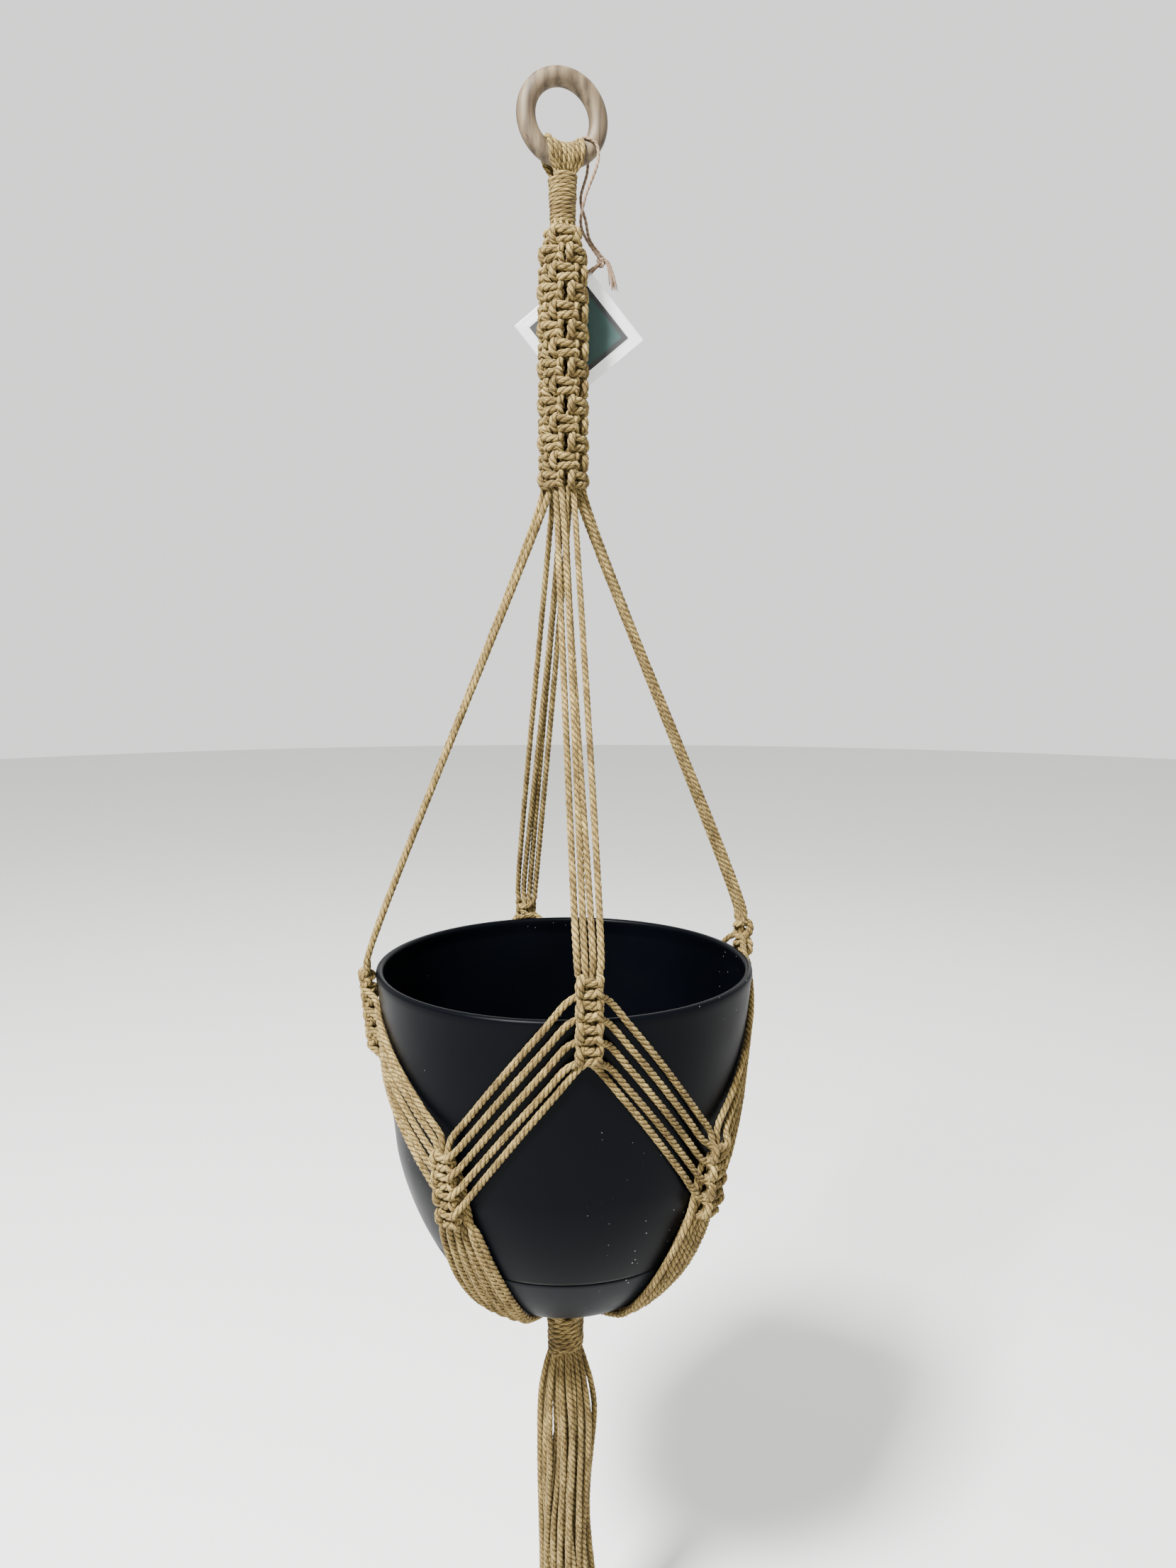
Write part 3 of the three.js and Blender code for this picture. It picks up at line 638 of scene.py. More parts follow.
def outer_radius(depth):
    share = min(max((depth - SHOULDER_DEPTH) / (POT_HEIGHT - SHOULDER_DEPTH), 0), 1)
    turn_in = 1 - (1 - share ** ROUNDNESS) ** (1 / ROUNDNESS)
    taper_at_base = POT_RADIUS - POT_TAPER * POT_HEIGHT
    return POT_RADIUS - POT_TAPER * max(depth, 0) - (taper_at_base - BASE_RADIUS) * turn_in


def off_pot(azimuth, depth, distance, side=0.0):
    """A point held off the pot square to its surface, and to one side of an azimuth."""
    step = 0.0005
    low = min(depth + step, POT_HEIGHT)
    slope = (outer_radius(low) - outer_radius(low - 2 * step)) / (2 * step)
    run = math.hypot(1, slope)
    radius = outer_radius(depth) + distance / run
    angle = azimuth + side / radius
    return (radius * math.cos(angle), radius * math.sin(angle),
            rim_z - depth + distance * slope / run)


# --- Rim sinnets, net and junction sinnets -----------------------------------------------
# Each leg's two inner cords are the fillers of a short column of four square knots at the
# rim. Its outer two tie the first knot, and three cords folded behind the fillers tie the
# others. Every knot sends a cord to each side, and five cords run side by side to each
# junction, where the first is a filler and the others tie a knot each.
KNOTS = 4
junctions = {"back_right": 54.0, "back_left": 138.0, "front_left": 229.0, "front_right": 312.0}
JUNCTION_NAMES = list(junctions)
RIM_FILLER_HEIGHT = 5.0
JUNCTION_FILLER_HEIGHT = 7.2
CORD_OFF_POT = 0.0022
JUNCTION_PACKING = 0.92
RIGHT_APPROACH = [(7.0, 4.6, 0.02), (5.4, 5.4, -0.14), (4.4, 3.6, -0.28)]
BAND_STOPS = 7


def junctions_beside(leg):
    """The junctions to a leg's left and right."""
    place = LEG_NAMES.index(leg)
    return JUNCTION_NAMES[place - 1], JUNCTION_NAMES[place]


def sinnet_span(node):
    low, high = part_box(node)
    return rim_z - high[2], (high[2] - low[2]) / KNOTS


def sinnet_seat(azimuth, top_depth, pitch, filler_height):
    def seat(x, y, z):
        depth = top_depth - z * pitch * 0.99
        return off_pot(azimuth, depth, (filler_height + y * 0.86) * MM, x * 0.97 * MM)

    return seat


def band_points(start_side, start_depth, leg, end_side, end_depth, junction, lift):
    """Points on the pot between a rim sinnet's side and a junction sinnet's side."""
    from_angle = math.radians(legs[leg])
    to_angle = math.radians(junctions[junction])
    if to_angle - from_angle > math.pi:
        to_angle -= math.tau
    if from_angle - to_angle > math.pi:
        to_angle += math.tau
    from_angle += start_side / outer_radius(start_depth)
    to_angle += end_side / outer_radius(end_depth)
    points = []
    for i in range(BAND_STOPS):
        t = i / (BAND_STOPS - 1)
        depth = start_depth + (end_depth - start_depth) * t
        rise = lift * max(0, (t - 0.55) / 0.45) ** 2
        points.append(off_pot(from_angle + (to_angle - from_angle) * t, depth, CORD_OFF_POT + rise))
    return points


def tie_rim_sinnet(leg):
    """Ties one leg's column of knots. Returns the five cords that leave on each side."""
    node = f"rim_sinnet_{leg}"
    azimuth = math.radians(legs[leg])
    top, pitch = sinnet_span(node)
    outer_left, filler_left, filler_right, outer_right = leg_strands[leg]
    left_band, right_band = (f"net_{leg}_to_{junction}" for junction in junctions_beside(leg))
    leg_name = "leg_" + leg
    seats = [sinnet_seat(azimuth, top + k * pitch, pitch, RIM_FILLER_HEIGHT) for k in range(KNOTS)]
    approach = sinnet_seat(azimuth, top, pitch, RIM_FILLER_HEIGHT)
    for strand, x in ((filler_left, -FILLER_PLACE), (filler_right, FILLER_PLACE)):
        strand.add(approach(x * 1.25, 0, 0.5), leg_name)
        strand.add(approach(x, 0, 0.05), leg_name, 0.9)
    outer_left.add(approach(-6.3, 0.2, 0.45), leg_name)
    outer_right.add(approach(6.4, 0.4, 0.45), leg_name)
    lefts, rights = [], []
    for k, seat in enumerate(seats):
        if k == 0:
            left, right = outer_left, outer_right
            before = leg_name
        else:
            left, right = Strand(), Strand()
            before = node
            left.add(seat(0.4, -3.6, 0.10), node, 0.8)
            left.add(seat(-3.4, -2.8, 0.06), node, 0.85)
            right.add(seat(-0.4, -3.6, 0.10), node, 0.8)
            right.add(seat(3.4, -2.8, 0.06), node, 0.85)
        tie_working(left, -1, seat, before, node, left_band)
        tie_working(right, 1, seat, before, node, right_band)
        for strand, x in ((filler_left, -FILLER_PLACE), (filler_right, FILLER_PLACE)):
            tie_filler(strand, x, seat, leg_name if k == 0 else node, node, node)
        lefts.append(left)
        rights.append(right)
    for strand, side, band in ((filler_left, -1, left_band), (filler_right, 1, right_band)):
        strand.add(seats[-1](side * 2.2, -1.4, -1.02), band, 0.92)
    return lefts + [filler_left], rights + [filler_right], top, pitch


bands = {}
for leg in LEG_NAMES:
    lefts, rights, top, pitch = tie_rim_sinnet(leg)
    left_junction, right_junction = junctions_beside(leg)
    for side, strands, junction in ((-1, lefts, left_junction), (1, rights, right_junction)):
        j_top, j_pitch = sinnet_span(f"junction_sinnet_{junction}")
        band = f"net_{leg}_to_{junction}"
        for k, strand in enumerate(strands):
            filler = k == KNOTS
            start_side = side * (0.0050 if filler else 0.0112)
            start_depth = top + (KNOTS * pitch + 0.0035 if filler else (k + 0.92) * pitch + 0.0042)
            lift = 0.0
            if k == 0:
                end_side, end_depth = side * -0.0036, j_top - 0.0072
                lift = 0.0030
            else:
                end_side, end_depth = side * -0.0090, j_top + (k - 1) * j_pitch - 0.0034
                lift = 0.0052 if side < 0 else 0.0030
            for point in band_points(
                    start_side, start_depth, leg, end_side, end_depth, junction, lift):
                strand.add(point, band)
        bands[leg, junction] = strands

base_strands = {}
for j, junction in enumerate(JUNCTION_NAMES):
    node = f"junction_sinnet_{junction}"
    base = f"base_bundle_{junction}"
    azimuth = math.radians(junctions[junction])
    top, pitch = sinnet_span(node)
    left_leg, right_leg = LEG_NAMES[j], LEG_NAMES[(j + 1) % 4]
    left_band, right_band = f"net_{left_leg}_to_{junction}", f"net_{right_leg}_to_{junction}"
    lefts, rights = bands[left_leg, junction], bands[right_leg, junction]
    bottom = top + KNOTS * pitch
    seats = [
        sinnet_seat(azimuth, top + k * pitch, pitch, JUNCTION_FILLER_HEIGHT) for k in range(KNOTS)]
    low_seat = sinnet_seat(azimuth, bottom, pitch, JUNCTION_FILLER_HEIGHT)
    for strand, side, band in ((lefts[0], -1, left_band), (rights[0], 1, right_band)):
        strand.add(seats[0](side * FILLER_PLACE * 1.3, -1.0, 0.18), band, 0.95)
        for k, seat in enumerate(seats):
            tie_filler(strand, side * FILLER_PLACE, seat, band if k == 0 else node, node, node)
        strand.add(low_seat(side * FILLER_PLACE, -2.5, -0.10), base, 0.95)
    for k, seat in enumerate(seats):
        left, right = lefts[k + 1], rights[k + 1]
        for x, y, z in RIGHT_APPROACH:
            right.add(seat(x, y, z), right_band, 1.0)
        tie_working(left, -1, seat, left_band, node, node, JUNCTION_PACKING)
        tie_working(right, 1, seat, right_band, node, node, JUNCTION_PACKING, skip=4)
        tail = 4.8 - 0.8 * k
        for strand, side in ((left, -1), (right, 1)):
            strand.add(off_pot(azimuth, top + (k + 1.2) * pitch, 0.0032, side * tail * MM), base, 0.95)
            if k < KNOTS - 1:
                strand.add(off_pot(azimuth, bottom - 0.002, 0.0026, side * tail * 1.8 * MM), base)
    base_strands[junction] = [*lefts[1:], lefts[0], rights[0], *reversed(rights[1:])]


# --- Base bundles ------------------------------------------------------------------------
# The ten cords from each junction fan out over the round of the pot, turn under its base
# and draw in to the bottom wrap, where all forty meet.
bottom_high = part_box("bottom_wrap")[1]
BASE_CORDS = 10
for junction, strands in base_strands.items():
    base = f"base_bundle_{junction}"
    azimuth = math.radians(junctions[junction])
    top, pitch = sinnet_span(f"junction_sinnet_{junction}")
    start = top + KNOTS * pitch + 0.006
    for n, strand in enumerate(strands):
        layer = n % 2
        place = 2 * (n // 2) - (BASE_CORDS / 2 - 1) + 0.38 * (1 - 2 * layer)
        uneven = 0.0005 * math.sin(n * 2.7 + azimuth * 5)
        for t, spacing in ((0.0, 2.7), (0.28, 3.5), (0.62, 4.0), (0.88, 3.9), (1.0, 3.7)):
            depth = start + (POT_HEIGHT - 0.004 - start) * t
            lift = 0.0021 + 0.0024 * layer * (1 - 0.45 * t)
            strand.add(off_pot(azimuth, depth, lift, place * spacing * MM + uneven), base, 1.02)
        for radius, spacing, share in (
                (0.040, 3.1, 0.02), (0.027, 2.2, 0.10), (0.0175, 1.5, 0.36), (0.0128, 1.1, 0.78)):
            drop = (saucer_low[2] - bottom_high[2]) * share + 0.0030 + 0.0022 * layer
            side = place * spacing * MM
            strand.add((
                radius * math.cos(azimuth) - side * math.sin(azimuth),
                radius * math.sin(azimuth) + side * math.cos(azimuth),
                saucer_low[2] - drop), base, 0.98 - 0.22 * share)
        inside = 0.0074 - 0.0034 * layer
        angle = azimuth + place * 0.15
        for down in (0.001, 0.010):
            strand.add((inside * math.cos(angle), inside * math.sin(angle),
                        bottom_high[2] - down), base, 0.72)

pieces = {}
tied_strands = [strand for group in base_strands.values() for strand in group]
for number, strand in enumerate(tied_strands, 1):
    line, width, tags = smooth_route(strand.points, strand.widths, strand.tags)
    reach = np.concatenate([[0], np.cumsum(np.linalg.norm(np.diff(line, axis=0), axis=1))])
    first = 0
    for i in range(1, len(line) + 1):
        if i == len(line) or tags[i] != tags[first]:
            stop = min(i + 1, len(line))
            pieces.setdefault(tags[first], []).append(
                (line[first:stop], width[first:stop], number, reach[first]))
            first = i

for tag, routes in pieces.items():
    if tag.startswith("leg_"):
        nodes = tuple(f"leg_cord_{tag[4:]}_{i}" for i in (1, 2, 3, 4))
        lay_cords(f"leg_cords_{tag[4:]}", routes, "hanger", nodes)
    else:
        lay_cords(tag + "_cords", routes, "hanger", (tag,))


# --- Gathering wraps ---------------------------------------------------------------------
# Each gathering knot is a separate cord wound round the bundle and drawn tight, its own
# ends tucked in under the turns.
def wind_wrap(name, node, turns, radius_top, radius_end, width, lean):
    low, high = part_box(node)
    stops = 14 * turns
    points, widths = [], []
    points.append((0.3 * radius_top, 0, high[2] - 0.002))
    widths.append(width * 0.8)
    for i in range(stops + 1):
        t = i / stops
        angle = -2.2 + math.tau * turns * t
        radius = radius_top + (radius_end - radius_top) * t
        radius += 0.00018 * math.sin(i * 1.7) + 0.0001 * math.sin(i * 0.61)
        inset = width * CORD_RADIUS
        height = high[2] - inset - (high[2] - low[2] - 2 * inset) * t
        height += lean * math.cos(angle)
        points.append((radius * math.cos(angle), radius * math.sin(angle), height))
        widths.append(width)
    points.append((0.35 * radius_end * math.cos(angle + 0.5),
                   0.35 * radius_end * math.sin(angle + 0.5), low[2] + 0.002))
    widths.append(width * 0.8)
    line, width, _ = smooth_route(points, widths)
    lay_cords(name, [(line, width, 77 + turns)], "hanger", (node,), Lay_length=0.017, Ply_depth=0.15)


wind_wrap("top_wrap_cord", "top_wrap", 12, 0.0072, 0.0061, 0.70, 0.0004)
wind_wrap("bottom_wrap_cord", "bottom_wrap", 7, 0.0102, 0.0096, 1.0, 0.0007)


# --- Wooden ring and the cords folded over it --------------------------------------------
# The ring is turned from pale unfinished wood. Eight cords are folded over it side by
# side, and their sixteen halves go down into the top wrap.
ring_low, ring_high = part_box("wood_ring")
swing = next(j for j in frame["joints"] if j["name"] == "hanger_swing")
ring_side = Vector(swing["axis"]).normalized()
ring_facing = Vector((ring_side.y, -ring_side.x, 0))
ring_outer = (ring_high[2] - ring_low[2]) / 2
RING_TUBE = 0.0055
ring_radius = ring_outer - RING_TUBE
ring_centre = Vector((0, 0, (ring_high[2] + ring_low[2]) / 2))
up = Vector((0, 0, 1))


def ring_point(angle, out, forward):
    """A point near the ring: angle round it, out from its tube's middle, and forward."""
    radial = ring_side * math.cos(angle) + up * math.sin(angle)
    return ring_centre + radial * (ring_radius + out) + ring_facing * forward


def make_wood():
    material = bpy.data.materials.new("bare_wood")
    material.use_nodes = True
    nodes, links = material.node_tree.nodes, material.node_tree.links
    shader = nodes["Principled BSDF"]
    shader.inputs["Roughness"].default_value = 0.62
    shader.inputs["Specular IOR Level"].default_value = 0.3
    place = nodes.new("ShaderNodeTexCoord")
    turn = nodes.new("ShaderNodeMapping")
    turn.inputs["Rotation"].default_value = (0.15, -0.62, math.radians(14))
    turn.inputs["Scale"].default_value = (1.0, 1.0, 0.06)
    links.new(place.outputs["Object"], turn.inputs["Vector"])
    grain = nodes.new("ShaderNodeTexNoise")
    grain.inputs["Scale"].default_value = 620.0
    grain.inputs["Detail"].default_value = 5.0
    grain.inputs["Distortion"].default_value = 0.4
    links.new(turn.outputs[0], grain.inputs["Vector"])
    growth = nodes.new("ShaderNodeTexWave")
    growth.wave_type = "BANDS"
    growth.bands_direction = "X"
    growth.inputs["Scale"].default_value = 55.0
    growth.inputs["Distortion"].default_value = 5.0
    growth.inputs["Detail"].default_value = 3.0
    growth.inputs["Detail Scale"].default_value = 1.2
    links.new(turn.outputs[0], growth.inputs["Vector"])
    mixed = nodes.new("ShaderNodeMix")
    mixed.data_type = "FLOAT"
    mixed.inputs["Factor"].default_value = 0.30
    links.new(grain.outputs["Fac"], mixed.inputs["A"])
    links.new(growth.outputs["Fac"], mixed.inputs["B"])
    tone = nodes.new("ShaderNodeValToRGB")
    tone.color_ramp.elements[0].position = 0.25
    tone.color_ramp.elements[0].color = (0.031, 0.020, 0.010, 1)
    tone.color_ramp.elements[1].position = 0.72
    tone.color_ramp.elements[1].color = (0.112, 0.081, 0.045, 1)
    links.new(mixed.outputs["Result"], tone.inputs["Fac"])
    links.new(tone.outputs["Color"], shader.inputs["Base Color"])
    bump = nodes.new("ShaderNodeBump")
    bump.inputs["Strength"].default_value = 0.2
    bump.inputs["Distance"].default_value = 0.0002
    links.new(grain.outputs["Fac"], bump.inputs["Height"])
    links.new(bump.outputs["Normal"], shader.inputs["Normal"])
    return material


def turn_ring():
    around, across = 160, 40
    vertices, faces = [], []
    for i in range(around):
        angle = math.tau * i / around
        for k in range(across):
            roll = math.tau * k / across
            flat = 1 + 0.012 * math.cos(2 * roll) + 0.006 * math.sin(3 * angle)
            vertices.append(ring_point(
                angle, RING_TUBE * flat * math.cos(roll) * 0.995, RING_TUBE * flat * math.sin(roll) * 0.99))
            following = (i + 1) % around
            beside = (k + 1) % across
            faces.append((i * across + k, following * across + k,
                          following * across + beside, i * across + beside))
    ring = add_mesh("wooden_ring", vertices, faces, [make_wood()])
    ring.data.polygons.foreach_set("use_smooth", [True] * len(faces))
    return ring


def face_outwards(piece):
    shaped = bmesh.new()
    shaped.from_mesh(piece.data)
    bmesh.ops.remove_doubles(shaped, verts=shaped.verts, dist=1e-6)
    bmesh.ops.recalc_face_normals(shaped, faces=shaped.faces)
    shaped.to_mesh(piece.data)
    shaped.free()


wooden_ring = turn_ring()
face_outwards(wooden_ring)
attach(wooden_ring, "ring")
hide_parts("wood_ring")

FOLDED_CORDS = 8
fold_routes = []
wrap_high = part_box("top_wrap")[1]
for n in range(FOLDED_CORDS):
    share = 2 * n / (FOLDED_CORDS - 1) - 1
    lie = RING_TUBE + CORD_RADIUS * 0.84
    uneven = 0.0003 * math.sin(n * 2.1)

    def on_ring(sideways, out, forward):
        angle = math.asin((sideways * share * MM + uneven) / (ring_radius + out * lie))
        return ring_point(angle - math.pi / 2, out * lie, forward * lie)

    stretch = []
    for side in (1, -1):
        halves = [
            ring_side * 0.0042 * share + ring_facing * 0.0024 * side
            + up * (wrap_high[2] - 0.009),
            ring_side * 0.0056 * share + ring_facing * 0.0042 * side
            + up * (wrap_high[2] + 0.0004),
            on_ring(8.4, 0.66, 0.80 * side),
            on_ring(9.3, 0.0, side),
            on_ring(9.7, -0.72, 0.72 * side),
        ]
        stretch += halves if side == 1 else [on_ring(9.6, -1.0, 0)] + halves[::-1]
    widths = [0.78, 0.80, 0.84, 0.85, 0.85, 0.85, 0.85, 0.85, 0.84, 0.80, 0.78]
    line, width, _ = smooth_route(stretch, widths)
    fold_routes.append((line, width, 90 + n))
lay_cords("ring_fold_cords", fold_routes, "hanger", ("ring_fold",))


# --- Pot and saucer ----------------------------------------------------------------------
# The pot is moulded in dark satin plastic, with a thick round lip and drain holes in its
# floor. The saucer fits on under a ledge, so that only a fine seam shows between them.
SAUCER_DEPTH = 0.040
SAUCER_WALL = 0.0024
SAUCER_PLAY = 0.0006
POT_WALL = 0.0030
LIP_HEIGHT = 0.0060
LIP_THICKNESS = 0.0046
FLOOR_DEPTH = 0.188
DRAIN_HOLES = 5
DRAIN_RADIUS = 0.004
DRAIN_CIRCLE = 0.038
seam_depth = POT_HEIGHT - SAUCER_DEPTH
TURNS = 144


def turned(name, outline, material):
    """A closed turned solid from (radius, depth) points; both ends lie on the axis."""
    vertices = [(0, 0, rim_z - outline[0][1]), (0, 0, rim_z - outline[-1][1])]
    faces = []
    inner = outline[1:-1]
    rows = len(inner)
    for i in range(TURNS):
        angle = math.tau * i / TURNS
        for radius, depth in inner:
            vertices.append((radius * math.cos(angle), radius * math.sin(angle), rim_z - depth))
    for i in range(TURNS):
        a, b = 2 + i * rows, 2 + ((i + 1) % TURNS) * rows
        faces.append((0, b, a))
        for k in range(rows - 1):
            faces.append((a + k, b + k, b + k + 1, a + k + 1))
        faces.append((1, a + rows - 1, b + rows - 1))
    piece = add_mesh(name, vertices, faces, [material])
    face_outwards(piece)
    piece.data.polygons.foreach_set("use_smooth", [True] * len(piece.data.polygons))
    return piece


def wall(first, last, steps, inset):
    depths = [first + (last - first) * i / steps for i in range(steps + 1)]
    return [(outer_radius(depth) - inset, depth) for depth in depths]


def arc(centre, radius, first, last, steps):
    turns = [first + (last - first) * i / steps for i in range(steps + 1)]
    return [(centre[0] + radius * math.cos(a), centre[1] - radius * math.sin(a)) for a in turns]


DUST_SPACING = 190.0


def make_plastic(name, color, roughness):
    """Moulded plastic: a fine texture, faint scuffs, and a little dust."""
    material = bpy.data.materials.new(name)
    material.use_nodes = True
    nodes, links = material.node_tree.nodes, material.node_tree.links
    shader = nodes["Principled BSDF"]
    shader.inputs["Specular IOR Level"].default_value = 0.035
    place = nodes.new("ShaderNodeTexCoord")

    def noise(scale, detail, kind="ShaderNodeTexNoise"):
        made = nodes.new(kind)
        made.inputs["Scale"].default_value = scale
        if "Detail" in made.inputs:
            made.inputs["Detail"].default_value = detail
        links.new(place.outputs["Object"], made.inputs["Vector"])
        return made

    scuffs = noise(18.0, 5.0)
    rough = nodes.new("ShaderNodeMapRange")
    rough.inputs["From Min"].default_value = 0.3
    rough.inputs["From Max"].default_value = 0.7
    rough.inputs["To Min"].default_value = roughness - 0.06
    rough.inputs["To Max"].default_value = roughness + 0.08
    links.new(scuffs.outputs["Fac"], rough.inputs["Value"])
    links.new(rough.outputs["Result"], shader.inputs["Roughness"])

    dust = noise(DUST_SPACING, 0.0, "ShaderNodeTexVoronoi")
    near = nodes.new("ShaderNodeMapRange")
    near.inputs["From Min"].default_value = 0.035
    near.inputs["From Max"].default_value = 0.075
    near.inputs["To Min"].default_value = 1.0
    near.inputs["To Max"].default_value = 0.0
    links.new(dust.outputs["Distance"], near.inputs["Value"])
    sparse = noise(9.0, 3.0)
    patch = nodes.new("ShaderNodeMapRange")
    patch.inputs["From Min"].default_value = 0.53
    patch.inputs["From Max"].default_value = 0.66
    links.new(sparse.outputs["Fac"], patch.inputs["Value"])
    amount = nodes.new("ShaderNodeMath")
    amount.operation = "MULTIPLY"
    links.new(near.outputs["Result"], amount.inputs[0])
    links.new(patch.outputs["Result"], amount.inputs[1])
    tint = nodes.new("ShaderNodeMix")
    tint.data_type = "RGBA"
    tint.inputs["A"].default_value = (*color, 1)
    tint.inputs["B"].default_value = (0.42, 0.42, 0.40, 1)
    links.new(amount.outputs[0], tint.inputs["Factor"])
    links.new(tint.outputs["Result"], shader.inputs["Base Color"])

    texture = noise(2600.0, 2.0)
    bump = nodes.new("ShaderNodeBump")
    bump.inputs["Strength"].default_value = 0.18
    bump.inputs["Distance"].default_value = 0.00008
    links.new(texture.outputs["Fac"], bump.inputs["Height"])
    links.new(bump.outputs["Normal"], shader.inputs["Normal"])
    return material


skirt = SAUCER_WALL + SAUCER_PLAY
floor_under = FLOOR_DEPTH + POT_WALL
lip_round = LIP_THICKNESS / 2
inner_foot = outer_radius(FLOOR_DEPTH) - skirt - POT_WALL * 1.4
pot_outline = [
    (0, floor_under),
    (outer_radius(floor_under) - skirt - 0.002, floor_under),
    *wall(floor_under - 0.002, seam_depth + 0.0006, 6, skirt),
    (outer_radius(seam_depth) - skirt, seam_depth),
    (outer_radius(seam_depth) - 0.0006, seam_depth),
    (outer_radius(seam_depth - 0.0005), seam_depth - 0.0005),
    *wall(seam_depth - 0.002, SHOULDER_DEPTH, 16, 0),
    *wall(SHOULDER_DEPTH - 0.01, LIP_HEIGHT + 0.002, 6, 0),
    (outer_radius(LIP_HEIGHT) + 0.0002, LIP_HEIGHT),
    *arc((POT_RADIUS - lip_round, lip_round), lip_round, 0, math.pi, 12),
    (POT_RADIUS - LIP_THICKNESS, LIP_HEIGHT * 0.8),
    (outer_radius(LIP_HEIGHT * 1.5) - POT_WALL, LIP_HEIGHT * 1.5),
    *wall(LIP_HEIGHT * 2, seam_depth - 0.010, 16, POT_WALL),
    *wall(seam_depth - 0.002, FLOOR_DEPTH - 0.005, 5, POT_WALL + skirt + 0.0006),
    (inner_foot, FLOOR_DEPTH),
    (inner_foot * 0.72, FLOOR_DEPTH),
    (0, FLOOR_DEPTH),
]
pot_plastic = make_plastic("charcoal_plastic", (0.0006, 0.0009, 0.0016), 0.38)
pot = turned("pot_body", pot_outline, pot_plastic)


def drill(piece, places, radius, length, aim):
    """Cuts a round hole at each place, along aim."""
    tools = []
    for place in places:
        bpy.ops.mesh.primitive_cylinder_add(
            vertices=32, radius=radius, depth=length, location=place,
            rotation=Vector(aim).to_track_quat("Z", "Y").to_euler())
        tools.append(bpy.context.object)
    for tool in tools:
        cut = piece.modifiers.new("hole", "BOOLEAN")
        cut.operation = "DIFFERENCE"
        cut.solver = "EXACT"
        cut.object = tool
    graph = bpy.context.evaluated_depsgraph_get()
    drilled = bpy.data.meshes.new_from_object(piece.evaluated_get(graph), depsgraph=graph)
    piece.modifiers.clear()
    piece.data = drilled
    for tool in tools:
        bpy.data.objects.remove(tool)


drain_angles = [math.tau * i / DRAIN_HOLES for i in range(DRAIN_HOLES)]
drill(
    pot,
    [(DRAIN_CIRCLE * math.cos(a), DRAIN_CIRCLE * math.sin(a), rim_z - FLOOR_DEPTH - POT_WALL / 2)
     for a in drain_angles],
    DRAIN_RADIUS, POT_WALL * 4, up)
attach(pot, "pot")
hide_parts("pot")

saucer_edge = seam_depth + 0.0005
saucer_outline = [
    (0, POT_HEIGHT),
    (BASE_RADIUS - 0.004, POT_HEIGHT),
    (BASE_RADIUS, POT_HEIGHT - 0.0004),
    *wall(POT_HEIGHT - 0.0025, saucer_edge + 0.0012, 20, 0),
    (outer_radius(saucer_edge) - 0.0004, saucer_edge),
    (outer_radius(saucer_edge) - SAUCER_WALL + 0.0004, saucer_edge),
    *wall(saucer_edge + 0.001, POT_HEIGHT - 0.004 - SAUCER_WALL, 10, SAUCER_WALL),
    (BASE_RADIUS - 0.002, POT_HEIGHT - SAUCER_WALL),
    (0, POT_HEIGHT - SAUCER_WALL),
]
saucer_plastic = make_plastic("grey_plastic", (0.0040, 0.0047, 0.0058), 0.42)
saucer = turned("saucer_shell", saucer_outline, saucer_plastic)
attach(saucer, "pot")
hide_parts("saucer")


# --- Hang tag ----------------------------------------------------------------------------
# A printed card lies in a clear pocket that is sealed on three sides and punched through
# its top corner. It hangs cornerwise behind the crown, from two-ply twine that goes over
# the ring and is knotted beside the crown with frayed ends.
tag_swing = next(j for j in frame["joints"] if j["name"] == "tag_swing")
tag_across = Vector(tag_swing["axis"]).normalized()
tag_normal = Vector((tag_across.y, -tag_across.x, 0))
card_low, card_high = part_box("tag_card")
tag_middle = (Vector(card_low) + Vector(card_high)) / 2
TAG_TURN = math.radians(39.3)
CARD_SIDE = 0.042
CARD_THICKNESS = 0.0006
CARD_BORDER = 0.0028
CARD_CORNER = 0.0004
SLEEVE_SIDE = 0.055
FILM = 0.00018
FILM_STEPS = 44
SEAL = 0.0022
PUNCH = 0.0020
PUNCH_INSET = 0.007


def in_tag(x, y, z):
    """A point given along the tag's own two edges and out from its middle."""
    across = x * math.cos(TAG_TURN) - y * math.sin(TAG_TURN)
    upward = x * math.sin(TAG_TURN) + y * math.cos(TAG_TURN)
    return tag_middle + tag_across * across + up * upward + tag_normal * z


def sag(x, y):
    """The card and its pocket are not quite flat."""
    return 0.0004 * math.sin(42 * x + 1.0) * math.cos(35 * y) + 0.0003 * math.sin(60 * (x + y))


def card_ring(side, lift):
    half, corner = side / 2, CARD_CORNER
    ring = []
    for cx, cy, first in ((1, 1, 0), (-1, 1, 90), (-1, -1, 180), (1, -1, 270)):
        for k in range(5):
            turn = math.radians(first + 22.5 * k)
            x = cx * (half - corner) + corner * math.cos(turn)
            y = cy * (half - corner) + corner * math.sin(turn)
            ring.append(in_tag(x, y, lift + sag(x, y) * 0.4))
    return ring


